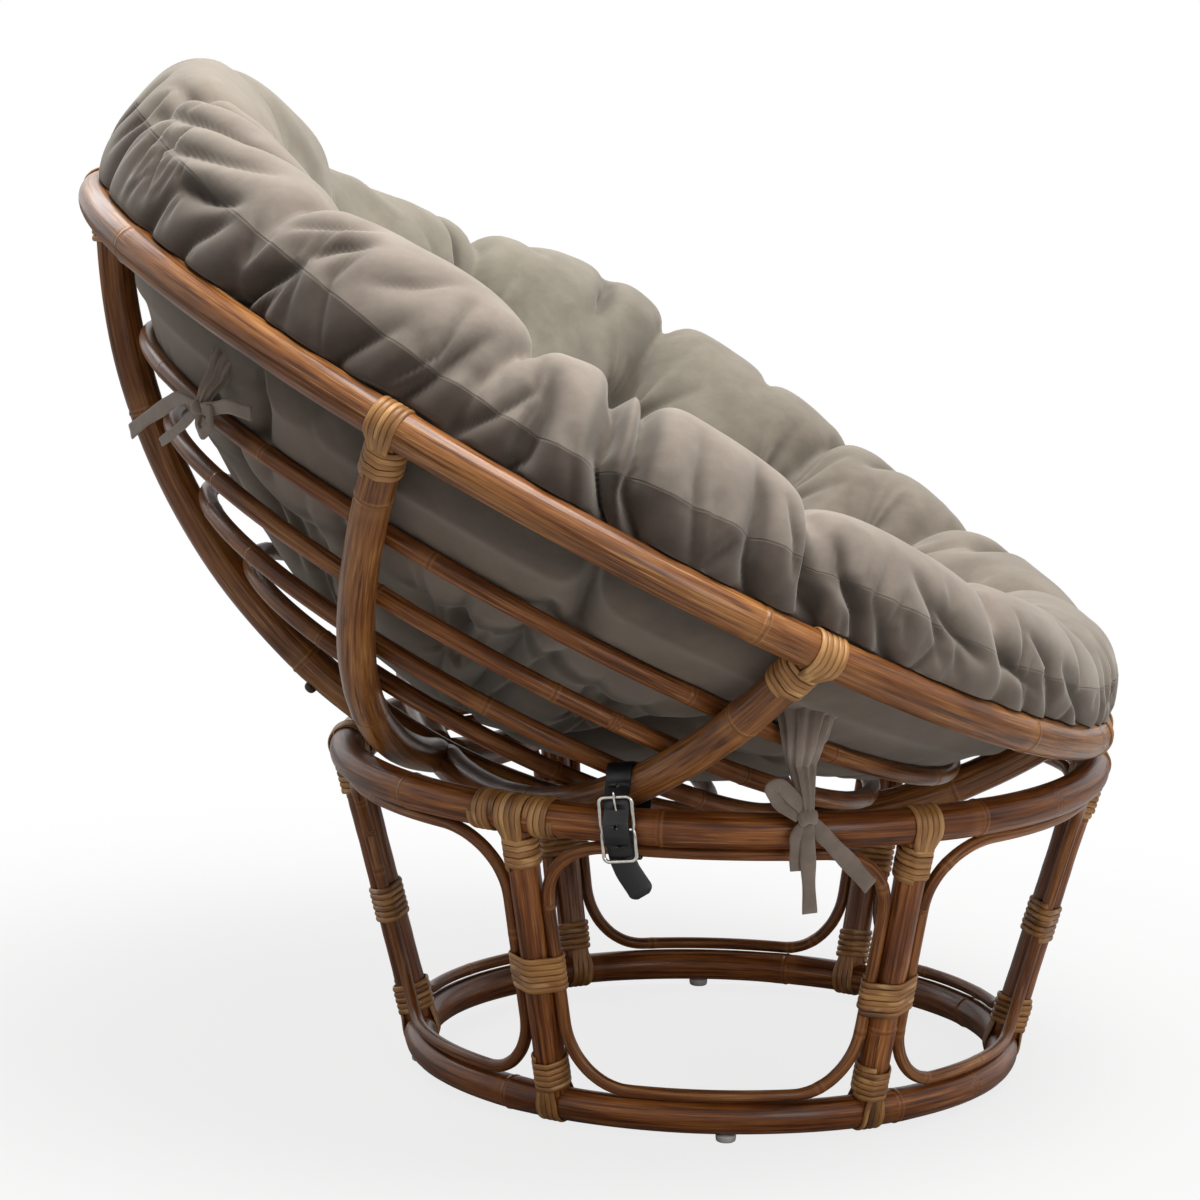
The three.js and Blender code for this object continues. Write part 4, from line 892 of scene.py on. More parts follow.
velvet = velvet_finish("velvet", (paint(114, 104, 95), paint(160, 149, 139)),
                       (paint(106, 100, 89), paint(149, 143, 130)), (paint(60, 51, 46), paint(94, 83, 76)))
print("velvet finish:", velvet.name)

# %% [markdown]
# ## Cushion form
# The cushion is a round bag of two panels with a side panel between them, filled and sewn
# through at thirteen places round the seat and a few in the middle. Its section is a curve from
# the middle of the bottom, up the outside, over the roll and down to the middle of the seat.
# The roll isn't even: it stands highest at the back and has sunk at the front and on the far
# side, so its crest height is a table by angle.

# %% Section and crest of the cushion
tuft_angles = [20, 47, 72, 100, 131, 160, 188, 215, 241, 270, 297, 320, 347]
crest_rise = [(0, -0.085), (20, -0.079), (40, -0.06), (60, -0.049), (85, -0.019), (100, -0.026),
              (115, 0), (140, 0), (155, 0.032), (170, 0.055), (180, 0.06), (195, 0.048),
              (208, -0.01), (220, -0.09), (232, -0.079), (245, -0.053), (258, -0.023),
              (270, -0.023), (285, -0.053), (300, -0.072), (315, -0.085), (330, -0.098), (345, -0.09)]
side_shares = [(0.888, -0.062), (0.922, -0.024), (0.953, 0.008), (0.984, 0.04), (0.998, 0.085),
               (0.994, 0.135), (0.972, 0.19), (0.93, 0.235), (0.868, 0.241)]
seat_shares = [(0.8, 0.215), (0.735, 0.145), (0.665, 0.05), (0.57, -0.045),
               (0.46, -0.12), (0.32, -0.185), (0.15, -0.235), (0, -0.25)]
bottom_polars = [0, 10, 22, 34, 45, 51.5]
rest_radius = hoop_arc - hoop_radius - 1.6 * mm

points = []
for degrees in bottom_polars:
    radius = rest_radius - 14.5 * mm * (1 - min(1, max(0, (degrees - 40) / 10)))
    polar = math.radians(degrees)
    points.append((radius * math.sin(polar), rim_drop - radius * math.cos(polar)))
points += [(r * rim_radius, h * rim_radius) for r, h in side_shares + seat_shares]
rows = 168
section_line = smoothed(resample(points, rows), 9)
section_steps = np.concatenate([[0], np.cumsum(np.linalg.norm(np.diff(section_line, axis=0), axis=1))])


def row_at(radius_share, height_share):
    """The section's row that lies nearest to a place given in shares of the rim's radius."""
    wanted = np.array([radius_share, height_share]) * rim_radius
    return int(np.argmin(np.linalg.norm(section_line - wanted, axis=1)))


crest_row, seam_row = row_at(0.885, 0.243), row_at(0.982, 0.165)
side_row, tuft_row = row_at(0.935, 0.01), row_at(0.648, 0.03)
inner_row, under_row = row_at(0.28, -0.2), row_at(0.63, -0.34)
rest_row = row_at(*side_shares[0])
print("rows: crest", crest_row, "seam", seam_row, "side", side_row, "tufts", tuft_row)

# %% [markdown]
# The bare form is a grid: one column for each angle and one row for each place on the section.
# Rise and bulge act only on the upper part, so the lower part keeps resting on the hoops.

# %% Bare form
columns = 13 * 34
grid_angles = np.arange(columns) * 360 / columns
rise_at = np.array([a for a, _ in crest_rise] + [360.0])
rise_by = np.array([v for _, v in crest_rise] + [crest_rise[0][1]])


def smooth_round(values, times):
    for _ in range(times):
        values = (np.roll(values, 1) + values * 2 + np.roll(values, -1)) / 4
    return values


def outward_each(turns):
    return bowl_front * np.cos(turns)[:, None] + bowl_side * np.sin(turns)[:, None]


rise = smooth_round(np.interp(grid_angles, rise_at, rise_by), 60) * rim_radius
back_bulge = 11 * mm * np.exp(-((grid_angles - 178) / 34) ** 2)
radii, heights = section_line[:, 0], section_line[:, 1]
crest_height, low_height = heights[crest_row], 0.027 * rim_radius
outside, inner_edge = np.arange(rows) <= crest_row, 0.32 * rim_radius
seat_weight = np.clip((radii - inner_edge) / (radii[crest_row] - inner_edge), 0, 1)
side_weight = np.clip((heights - low_height) / (crest_height - low_height), 0, 1)
above_rest = np.arange(rows) > rest_row
rise_weight = np.where(outside, side_weight * above_rest, seat_weight)
bulge_weight = np.where(outside, side_weight ** 2 * above_rest, seat_weight ** 2)
turns = np.radians(grid_angles)
spread = (radii[:, None] + back_bulge[None] * bulge_weight[:, None])
lift = heights[:, None] + rise[None] * rise_weight[:, None]
form = rim_centre + spread[..., None] * outward_each(turns) + lift[..., None] * bowl_up


def form_normals(grid):
    around = np.roll(grid, -1, 1) - np.roll(grid, 1, 1)
    normals = np.cross(around, np.gradient(grid, axis=0))
    normals /= np.maximum(np.linalg.norm(normals, axis=2), 1e-9)[..., None]
    return normals


outward_of_form = form_normals(form)
if outward_of_form[crest_row, 0] @ bowl_up < 0:
    outward_of_form = -outward_of_form
print("bare form:", rows, "rows and", columns, "columns")

# %% [markdown]
# ## Tufts, folds and pleats
# Thread pulls the cover in at a tuft, and the cloth between two tufts bulges. From each tuft a
# deep fold runs over the roll to the seam, and smaller pleats fan out beside it. Each fold is a
# row of pulls, and a point of the cover moves by the strongest pull on it. That keeps the folds
# sharp where they meet, as gathered cloth is.

# %% Pulls
chance = random.Random(41)
level_rows = [tuft_row - 4 * (tuft_row - side_row), side_row, seam_row, crest_row, tuft_row, rows - 1]
level_marks = [-4, 0, 1, 2, 3, 6]


def row_of(level):
    """Level 0 is the foot of the side panel, 1 the seam, 2 the crest and 3 the ring of tufts."""
    return np.interp(level, level_marks, level_rows)


def spot(grid, angle, row):
    """The place on a grid of points at an angle and a row, both with fractions."""
    scale = (len(grid) - 1) / (rows - 1)
    column = (angle % 360) / 360 * grid.shape[1]
    left, high = int(column), min(max(row * scale, 0), len(grid) - 1.001)
    top, share, over = int(high), column - int(column), high - int(high)
    left, right = left % grid.shape[1], (left + 1) % grid.shape[1]
    below = grid[top, left] * (1 - share) + grid[top, right] * share
    return below * (1 - over) + (grid[top + 1, left] * (1 - share) + grid[top + 1, right] * share) * over


def fold(grid, line, depth, width):
    """Pulls along a line of (angle, level). depth is a pair, or else deepest in the middle."""
    line = np.array([(angle, row_of(level)) for angle, level in line], float)
    stretch = line * [1.6, 1.2]
    length = np.linalg.norm(np.diff(stretch, axis=0), axis=1).sum()
    count = int(length * 2.2) + 8
    steps = smoothed(resample(line, count), 3)
    made = []
    for share, (angle, row) in zip(np.linspace(0, 1, count), steps):
        if isinstance(depth, tuple):
            here = depth[0] + (depth[1] - depth[0]) * share
        else:
            here = depth * math.sin(math.pi * (0.06 + 0.88 * share)) ** 0.6
        made.append((spot(grid, angle, row), angle, row, here * mm, width * mm))
    return made


def tuft(grid, angle, row, depth, width):
    return [(spot(grid, angle, row), angle, row, depth * mm, width * mm)]


def drawn_in(grid, pulls, blunt=2.5 * mm, fades=4):
    """How far each point of a grid is drawn in by the strongest pull on it, in metres."""
    drawn = np.zeros(grid.shape[:2])
    count, wide = drawn.shape
    row_step = section_steps[-1] / (count - 1)
    for place, angle, row, depth, width in pulls:
        reach = width * fades
        middle, rows_near = int(row * (count - 1) / (rows - 1)), int(reach / row_step) + 1
        off = place - rim_centre
        radius = max(math.hypot(off @ bowl_front, off @ bowl_side) - reach, 20 * mm)
        span = min(wide // 2 - 1, int(reach / (radius * 2 * math.pi / wide)) + 1)
        column = int(angle % 360 / 360 * wide)
        chosen = np.arange(column - span, column + span + 1) % wide
        window = np.ix_(np.arange(max(0, middle - rows_near), min(count, middle + rows_near + 1)), chosen)
        gap = np.linalg.norm(grid[window] - place, axis=2)
        gap = np.sqrt(gap ** 2 + blunt ** 2) - blunt
        drawn[window] = np.maximum(drawn[window], depth * (np.exp(-gap / width) - math.exp(-fades)))
    return drawn


leans = {angle: chance.uniform(-3, 3) for angle in tuft_angles}
power_at = {100: 1.5, 72: 1.1, 215: 1.3, 241: 1.25, 270: 1.35, 297: 1.3, 320: 1.25}
tuft_size, under_size, inner_size = (52, 42), (24, 34), (34, 52)
tuft_depth, crest_depth, seam_depth, foot_depth = 40, 22, 12, 4
inner_width, roll_width, side_width = 19, 13, 11
main_pulls = []
for angle in tuft_angles:
    power, over = power_at.get(angle, 1.0), angle + leans[angle]
    foot = over + leans[angle]
    main_pulls += tuft(form, angle, tuft_row, *tuft_size)
    at_tuft, at_crest, at_seam = tuft_depth * power, crest_depth * power, seam_depth * power
    main_pulls += fold(form, [(angle, 3), (over, 2.2)], (at_tuft, at_crest), inner_width)
    main_pulls += fold(form, [(over, 2.2), (foot, 1)], (at_crest, at_seam), roll_width)
    main_pulls += fold(form, [(foot, 1), (foot, 0)], (at_seam, foot_depth), side_width)
    main_pulls += tuft(form, angle, under_row, *under_size)
for k in range(5):
    main_pulls += tuft(form, k * 72 + 15, inner_row, *inner_size)
drawn = drawn_in(form, main_pulls)
puff = np.interp(np.arange(rows), [side_row - 8, side_row, seam_row, crest_row + 4], [0, 10, 8, 7]) * mm
puff = np.convolve(np.pad(puff, 4, mode="edge"), np.ones(9) / 9, "valid")
cover = form + outward_of_form * (puff[:, None] - drawn)[..., None]
print("main pulls:", len(main_pulls), "deepest", round(drawn.max() / mm, 1), "mm")

# %% [markdown]
# ## Filling the cushion
# A short cloth simulation lets the cover settle as cloth does. Pressure swells it, the tufts and
# the resting side are pinned, and gravity is off. Each point may then move by a few millimetres
# only, so the folds above are kept. Afterwards the grid is made twice as fine.

# %% Cushion mesh
def flattened(values):
    inner = values[1:-1].reshape(-1, *values.shape[2:])
    return np.concatenate([inner, values[:1, 0], values[-1:, 0]])


def cushion_mesh(grid, bare):
    """Rows of points from the bottom's middle to the seat's, closed by a fan at each end."""
    count, wide = grid.shape[:2]
    ring = np.arange(wide)
    after = (ring + 1) % wide
    faces = []
    for i in range(1, count - 2):
        low, high = (i - 1) * wide, i * wide
        faces += np.stack([low + ring, low + after, high + after, high + ring], 1).tolist()
    first, last = (count - 2) * wide, (count - 2) * wide + 1
    top = (count - 3) * wide
    faces += np.stack([np.full(wide, first), after, ring], 1).tolist()
    faces += np.stack([np.full(wide, last), top + ring, top + after], 1).tolist()
    steps = np.interp(np.linspace(0, rows - 1, count), np.arange(rows), section_steps)
    angles = ring * 2 * math.pi / wide
    sag = 9 * mm * np.sin(angles * 2 + 1.0) + 7 * mm * np.sin(angles * 5 + 2.0)
    off = steps[:, None] - section_steps[seam_row] - sag[None]
    return {"vertices": flattened(grid), "faces": faces, "pole_at": flattened(bare),
            "pole_seed": flattened(np.repeat(np.sin(angles)[None], count, 0)), "pole_knot": flattened(off)}


part = cushion_mesh(cover, form)
cushion = build("cloth_before", [part], velvet, "bowl")
print("cloth:", len(cushion.data.vertices), "vertices")

# %% [markdown]
# The cover is cut larger than the bag it makes, except along the seam, which is sewn on a cord.
# So the panels grow by a few per cent in the simulation and the seam doesn't, and the cloth
# gathers along it. Vertex groups pin the tufts and the main folds.

# %% Cloth simulation
def unflattened(values):
    ends = [np.repeat(values[k][None, None], columns, 1) for k in (-2, -1)]
    return np.concatenate([ends[0], values[:-2].reshape(rows - 2, columns, 3), ends[1]])


def grid_values(name, values):
    group = cushion.vertex_groups.new(name=name)
    levels = np.round(np.clip(flattened(values), 0, 1) * 20).astype(int)
    for level in range(1, 21):
        chosen = np.nonzero(levels == level)[0]
        if len(chosen):
            group.add(chosen.tolist(), level / 20, "REPLACE")
    return name


def places_of(mesh):
    places = np.empty(len(mesh.vertices) * 3, dtype=np.float32)
    mesh.vertices.foreach_get("co", places)
    return places.reshape(-1, 3)


row_index = np.arange(rows)[:, None] * np.ones(columns)[None]
held = np.clip((drawn - 20 * mm) / (16 * mm), 0, 1)
held = np.maximum(held, np.clip((side_row - 26 - row_index) / 6, 0, 1) * 0.9)
held = np.maximum(held, (row_index < 4) | (row_index > rows - 5))
sewn = np.maximum(np.exp(-((row_index - seam_row) / 1.2) ** 2), np.clip((side_row - row_index) / 8, 0, 1))
cloth = cushion.modifiers.new("cloth", "CLOTH")
fabric = {"quality": 5, "mass": 0.3, "tension_stiffness": 15, "compression_stiffness": 15,
          "shear_stiffness": 5, "bending_stiffness": 0.6, "use_pressure": True,
          "uniform_pressure_force": 3.5, "vertex_group_mass": grid_values("held", held),
          "vertex_group_shrink": grid_values("sewn", sewn), "shrink_min": -0.055, "shrink_max": 0.0}
for key, value in fabric.items():
    setattr(cloth.settings, key, value)
cloth.settings.effector_weights.gravity = 0
cloth.collision_settings.use_collision = False
cloth.collision_settings.use_self_collision = False
frames = 16
cloth.point_cache.frame_end = frames
start = places_of(cushion.data).astype(float)
moved = np.zeros_like(start)
for frame_number in range(1, frames + 1):
    bpy.context.scene.frame_set(frame_number)
evaluated = cushion.evaluated_get(bpy.context.evaluated_depsgraph_get())
moved = places_of(evaluated.data) - start
bpy.context.scene.frame_set(1)
bpy.data.objects.remove(cushion)
far = np.linalg.norm(moved, axis=1)
print("cloth moved by", round(far.mean() / mm, 1), "mm, at most", round(far.max() / mm, 1), "mm")
limit = 15 * mm
soft_far = limit * np.tanh(far / limit)
moved *= (soft_far / np.maximum(far, 1e-9))[:, None]
moved = unflattened(moved)
for _ in range(3):
    moved = (np.roll(moved, 1, 1) + moved * 2 + np.roll(moved, -1, 1)) / 4
    moved[1:-1] = (moved[:-2] + moved[1:-1] * 2 + moved[2:]) / 4
shaped = unflattened(start) + moved

# %% [markdown]
# The poles push back. Seen in a section through the bowl's axis, the rim and each hoop is a
# circle. A point inside a hoop is moved straight out of it. A point inside the rim slides up and
# inwards, and outside the rim's middle nothing hangs lower than its top.

# %% Push the cover out of the poles
bound_at = np.array([0, 65, 110, 180])
rim_gap, binding_gap, hoop_gap = 1.2 * mm, 3.2 * mm, 0.9 * mm
least_reach, more_reach = 557 * mm, 60 * mm


def pushed_out(places):
    off = places - rim_centre
    ahead, aside, high = off @ bowl_front, off @ bowl_side, off @ bowl_up
    turn = np.arctan2(aside, ahead)
    across = np.hypot(ahead, aside)
    from_binding = np.abs(np.abs(np.degrees(turn))[:, None] - bound_at[None]).min(1)
    tube = rim_tube + rim_gap + np.exp(-(from_binding / 4.5) ** 4) * binding_gap
    high = np.where(across > rim_radius, np.maximum(high, tube), high)
    beside, along = across - rim_radius, (high - across + rim_radius) / math.sqrt(2)
    inside = np.hypot(beside, high) < tube
    out_of_rim = np.sqrt(np.maximum(along ** 2 - beside ** 2 - high ** 2 + tube ** 2, 0)) - along
    slide = np.where(inside, out_of_rim, 0)
    across, high = across - slide / math.sqrt(2), high + slide / math.sqrt(2)
    for degrees in hoop_angles:
        polar = math.radians(degrees)
        x, y = hoop_arc * math.sin(polar), rim_drop - hoop_arc * math.cos(polar)
        gap = np.hypot(across - x, high - y)
        push = np.maximum(0, hoop_radius + hoop_gap - gap) / np.maximum(gap, 1e-6)
        across, high = across + (across - x) * push, high + (high - y) * push
    depth = np.hypot(across, high - rim_drop)
    most = least_reach + np.clip((high + 4 * mm) / (14 * mm), 0, 1) * more_reach
    scale = np.minimum(1, most / depth)
    across, high = across * scale, rim_drop + (high - rim_drop) * scale
    return rim_centre + across[:, None] * outward_each(turn) + high[:, None] * bowl_up


def finer(grid):
    """Twice as many rows and columns, on a smooth curve through the old ones."""
    before, after = np.roll(grid, 1, 1), np.roll(grid, -1, 1)
    between = (grid + after) * 9 / 16 - (before + np.roll(grid, -2, 1)) / 16
    wide = np.stack([grid, between], 2).reshape(len(grid), -1, *grid.shape[2:])
    ends = np.concatenate([wide[:1], wide, wide[-1:]])
    middle = (ends[1:-2] + ends[2:-1]) * 9 / 16 - (ends[:-3] + ends[3:]) / 16
    tall = np.empty((len(wide) * 2 - 1,) + wide.shape[1:])
    tall[::2], tall[1::2] = wide, middle
    return tall


def outward_normals(grid):
    normals = form_normals(grid)
    crest = round(crest_row * (len(grid) - 1) / (rows - 1))
    return normals if normals[crest, 0] @ bowl_up > 0 else -normals


# %% [markdown]
# The small folds follow the photograph: pinches along the seam, most of them on the near side
# towards the front, and two deep folds over the roll beside the sitter's arm. Each line lists
# where a fold starts, turns and ends, as angles and levels. Short gathers fill the seam between.

# %% Small folds
near_folds = [
    ([(163, 1.15), (154, 1.5), (146, 1.95), (141, 2.3)], 10, 8),
    ([(158, 1.0), (150, 1.15), (143, 1.45), (138, 1.75)], 8, 7),
    ([(166, 1.5), (157, 1.9), (150, 2.3)], 8, 9), ([(146, 0.9), (141, 1.0), (137, 1.15)], 13, 8),
    ([(146, 0.95), (147, 0.4), (146, 0)], 6, 7), ([(136, 0.95), (139, 0.6), (141, 0.1)], 8, 8),
    ([(126.2, 1.0), (130.3, 0.4), (136.8, -0.1)], 19, 10),
    ([(126.2, 1.0), (127.5, 0.3), (131, -0.6)], 12, 8),
    ([(126.2, 1.05), (124.5, 1.4), (122, 1.7)], 11, 8),
    ([(130, 1.3), (127, 1.6), (124, 2.0)], 8, 8), ([(119, 1.2), (116, 1.5), (113, 1.9)], 6, 8),
    ([(114, 1.0), (117.3, 0.5), (121, -0.2)], 12, 9), ([(106.7, 1.5), (109.1, 0.7), (113, 0)], 11, 9),
    ([(99.4, 1.6), (98.2, 1.1), (97.7, 0.6), (100, 0)], 15, 9),
    ([(102, 1.9), (100, 1.3), (102, 0.8), (105, 0.4)], 9, 8),
    ([(94, 2.6), (92.9, 1.7), (92.0, 1.0), (88.8, 0.4), (85.5, -0.4)], 27, 9),
    ([(91, 2.6), (89.6, 2.0), (88.8, 1.3), (88, 0.75), (83.1, 0.0)], 23, 8),
    ([(84, 1.9), (83, 1.2), (80, 0.4)], 8, 7), ([(77.4, 2.0), (75.7, 0.75), (72.5, 0)], 17, 9),
    ([(74, 1.7), (72, 1.2), (71, 0.8)], 9, 6), ([(70.9, 2.1), (69.2, 0.8), (66, 0.2)], 17, 9),
    ([(67.6, 1.7), (66.8, 1.1), (63.5, 0.8), (61.9, 0.3)], 15, 8),
    ([(61.9, 0.9), (57.8, 0.4), (52.9, 0)], 12, 8), ([(58, 1.6), (55, 1.2), (53, 0.7)], 9, 6),
    ([(56.2, 1.4), (52.1, 1.1), (48.1, 0.9)], 10, 7), ([(47.2, 1.7), (44, 1.1), (38.3, 0.8)], 12, 7),
    ([(40, 1.6), (36, 1.2), (34, 0.6)], 10, 7), ([(33.4, 1.2), (27.7, 0.8), (22, 0.3)], 10, 7),
    ([(89, -0.4), (91, -1.2), (95, -2.0)], 20, 12), ([(84, -0.6), (87, -1.4), (92, -2.1)], 14, 10),
    ([(98, -0.5), (100, -1.3)], 10, 10), ([(118, -0.5), (120, -1.4)], 12, 12),
    ([(62, -0.5), (66, -1.4), (70, -2.2)], 14, 11), ([(140, -0.4), (139, -1.2)], 10, 11),
    ([(261, 1.9), (261, 2.5)], 16, 9), ([(236, 1.9), (240, 2.6)], 14, 9), ([(285, 1.8), (287, 2.2)], 8, 8),
    ([(308, 1.8), (307, 2.3)], 9, 8), ([(330, 1.7), (331, 2.3)], 9, 8), ([(250, 1.8), (251, 2.2)], 7, 8),
]
fold_power = 1.4
shaped = finer(shaped)
small_pulls = []
for line, depth, width in near_folds:
    small_pulls += fold(shaped, line, depth * fold_power, width)
for angle in tuft_angles:
    over = angle + leans[angle]
    for k in range(5):
        aside = chance.choice((-1, 1)) * chance.uniform(3, 10)
        high, low = 1 + chance.uniform(0.2, 0.9), 1 - chance.uniform(0.3, 0.9)
        line = [(over + aside, high), (over + aside * 0.9, 1), (over + aside * 1.3, low)]
        small_pulls += fold(shaped, line, chance.uniform(5, 13), chance.uniform(4.5, 7))
    for k in range(7):
        aside = chance.uniform(-11, 11)
        pleats = [(3, 0.1, -chance.uniform(0.3, 0.7), (14, 2), 6),
                  (3, 0.1, chance.uniform(0.3, 0.7), (12, 1), 7),
                  (-1.2, 0.2, chance.choice((-1, 1)) * 0.8, (12, 1), 7)]
        for level, near, away, depth, width in pleats:
            line = [(angle + aside * near, level), (angle + aside, level + away)]
            small_pulls += fold(shaped, line, depth, width)
for k in range(150):
    angle = chance.uniform(0, 360)
    line = [(angle, 1 + chance.uniform(0, 0.3)),
            (angle + chance.uniform(-2, 2), 1 - chance.uniform(0.1, 0.5))]
    small_pulls += fold(shaped, line, chance.uniform(2.5, 7), chance.uniform(3.5, 5.5))
fine_drawn = drawn_in(shaped, small_pulls)
shaped = shaped - outward_normals(shaped) * fine_drawn[..., None]
print("small pulls:", len(small_pulls), "deepest", round(fine_drawn.max() / mm, 1), "mm")
shaped = pushed_out(shaped.reshape(-1, 3)).reshape(shaped.shape)
part = cushion_mesh(shaped, finer(form))
cushion = build("cushion_cover", [part], velvet, "bowl", ["cushion"])
# Fold depth is kept on the cushion as painted shade, which darkens the velvet in its folds.
main_share = np.clip(finer(drawn[..., None])[..., 0] / (60 * mm), 0, 1) * 0.5
depth = np.clip(fine_drawn / (13 * mm) + main_share, 0, 1)
shade = cushion.data.attributes.new("crease_shade", "FLOAT", "POINT")
shade.data.foreach_set("value", flattened(depth ** 1.4).astype(np.float32))
print("cushion cover:", len(cushion.data.vertices), "vertices")

# %% [markdown]
# ## Strap leather and buckle wire
# The strap is smooth black leather with a fine grain, and it shines where it bends. The buckle
# is bent from plated wire, polished but not a mirror.

# %% Leather, nickel, plastic and rubber
def leather_finish():
    bench = Bench("strap_leather")
    place = bench.place_of("pole_at")
    grain = bench.node("ShaderNodeTexVoronoi", {"feature": "DISTANCE_TO_EDGE"},
                       {"Vector": bench.stretched(place, (900, 900, 900)), "Scale": 1.0})
    cloud = bench.noise(bench.stretched(place, (60, 60, 60)), 1.0, 3.0)
    colour = bench.ramp(cloud, [(0.3, paint(7, 7, 8)), (0.75, paint(18, 18, 20))])
    return bench.done({
        "Base Color": colour, "Roughness": cloud * 0.2 + 0.22, "Specular IOR Level": 0.5,
        "Normal": bench.bump(bench.between(grain, 0.0, 0.3), 0.00012, 0.4)})


def plain_finish(name, dark, light, rough, metal=0.0, scale=90.0, depth=0.00008):
    bench = Bench(name)
    place = bench.node("ShaderNodeTexCoord", out="Object")
    cloud = bench.noise(place, scale, 3.0)
    colour = bench.ramp(cloud, [(0.3, dark), (0.7, light)])
    return bench.done({
        "Base Color": colour, "Roughness": cloud * 0.16 + rough, "Metallic": metal,
        "Normal": bench.bump(bench.noise(place, scale * 9, 2.0), depth, 0.35)})


leather = leather_finish()
nickel = plain_finish("nickel_wire", paint(196, 192, 184), paint(224, 221, 214), 0.14, 1.0, 220)
plastic = plain_finish("glide_plastic", paint(196, 195, 192), paint(222, 221, 218), 0.32)
rubber = plain_finish("bumper_rubber", paint(46, 40, 36), paint(66, 58, 52), 0.6, 0.0, 300)
print("small finishes ready")

# %% [markdown]
# ## Strap
# The strap goes once round the top ring, the window rod and the rib, and holds the bowl on the
# base. Its path is again a string pulled tight, this time round the places where those poles
# cross the strap's plane. It starts as a fold round the buckle's bar, and ends as a tail.

# %% Strap plane and path
strap_turn = math.radians(103.4)
strap_lean = math.radians(7)
strap_width, strap_thick = 23 * mm, 2.2 * mm
bar_radius, wire_radius, prong_radius = 1.5 * mm, 1.7 * mm, 1.1 * mm
buckle_rise, buckle_drop, strap_tail, strap_slant = 29 * mm, 28 * mm, 28 * mm, 15 * mm
strap_at = np.array([0, shift_back, top_ring_height])
strap_x = outward(strap_turn)
strap_y = up * math.cos(strap_lean) + along_ring(strap_turn) * math.sin(strap_lean)
strap_w = along_ring(strap_turn) * math.cos(strap_lean) - up * math.sin(strap_lean)


def in_strap(x, y, w=0.0):
    return strap_at + strap_x * x + strap_y * y + strap_w * w


def crossed_by_strap(names):
    found = []
    for name in names:
        off = places_of(bpy.data.objects[name].data) - strap_at
        x, y, w = off @ strap_x, off @ strap_y, off @ strap_w
        near = (np.abs(w) < 16 * mm) & (x > top_ring_radius - 92 * mm) & (y > -top_tube * 2.4)
        found.append(np.stack([x[near], y[near]], 1))
    return np.concatenate(found)


half = strap_thick / 2
crossing = crossed_by_strap(["top_ring", "window_rod_1", "rib_front_left"])
string = []
for turn in np.linspace(0, 2 * math.pi, 160, endpoint=False):
    ray = np.array([math.cos(turn), math.sin(turn)])
    furthest = crossing[np.argmax(crossing @ ray)]
    string.append(furthest + ray * (half + 0.45 * mm))
string = resample(string, 120, True)
strap_front = string[:, 0].max()
bar_x = max(strap_front + half + 0.3 * mm + bar_radius, 0.3768)
fold_radius = bar_radius + 0.3 * mm + half
print("buckle bar at", round(bar_x / mm, 1), "mm from the base's axis")

# %% Strap line
def angle_round(point):
    return math.degrees(math.atan2(point[1], point[0] - (top_ring_radius - rib_radius)))


ordered = sorted(string.tolist(), key=angle_round, reverse=True)
line = [(bar_x + fold_radius * math.cos(math.radians(a)), fold_radius * math.sin(math.radians(a)), 0)
        for a in range(-60, 181, 15)]
line += [(x, y, 0) for x, y in ordered if angle_round((x, y)) < -8 and y < -bar_radius * 2]
line += [(x, y, 0) for x, y in ordered if angle_round((x, y)) >= 62]
under = bar_x - wire_radius - 0.3 * mm - half
over = bar_x + fold_radius + half * 2 + 0.6 * mm
line += [(under - half, buckle_rise - strap_thick * 1.15, 0), (under + half * 1.4, buckle_rise * 0.62, 0),
         (over, bar_radius * 3, 0), (over, -bar_radius * 3, 0),
         (under + half * 1.4, -buckle_drop * 0.62, 0), (under - half, strap_thick * 1.15 - buckle_drop, 0),
         (under - half * 0.5, -buckle_drop - strap_tail * 0.35, -strap_slant * 0.3),
         (under, -buckle_drop - strap_tail * 0.9, -strap_slant * 0.9),
         (under + half, -buckle_drop - strap_tail - 4 * mm, -strap_slant - 2 * mm)]
line = smoothed(resample(line, 300), 5)
places = np.array([in_strap(*spot) for spot in line])
step = np.gradient(line, axis=0)
facing = [strap_x * dy - strap_y * dx for dx, dy, dw in step]
across, out = frames_along(places, facing)
flat_half = strap_width / 2
inset = flat_half - half * 0.5
flat_section = np.array([(-flat_half, -0.5 * half), (-inset, -half), (inset, -half), (flat_half, -0.5 * half),
                         (flat_half, 0.5 * half), (inset, half), (-inset, half), (-flat_half, 0.5 * half)])
widths = np.ones(len(line))
blunt = np.linspace(0, 1, 7)
widths[-7:] = np.sqrt(1 - blunt ** 2 * 0.75)
widths[:6] = 0.95
sections = flat_section[None] * np.stack([widths, np.ones(len(line))], 1)[:, None]
part = sweep(places, across, out, sections, seed=1.0)
strap = build("strap_band", [part], leather, "strap", ["strap"])
print("strap:", round(np.linalg.norm(np.diff(places, axis=0), axis=1).sum() / mm), "mm long")

# %% [markdown]
# Holes are cut with a Boolean modifier, because a hole has to show what is behind it. The cutter
# is one object with a rod for each hole and a block for the slot at the fold, and it is removed
# as soon as the modifier is applied.

# %% Cut and apply
def rod_between(low, high, radius, sides=20):
    low, high = np.asarray(low), np.asarray(high)
    along = unit(high - low)
    aside = unit(np.cross(along, strap_w if abs(along @ strap_w) < 0.9 else strap_x))
    return sweep([low, high], [aside] * 2, [np.cross(along, aside)] * 2, disc(radius, sides))


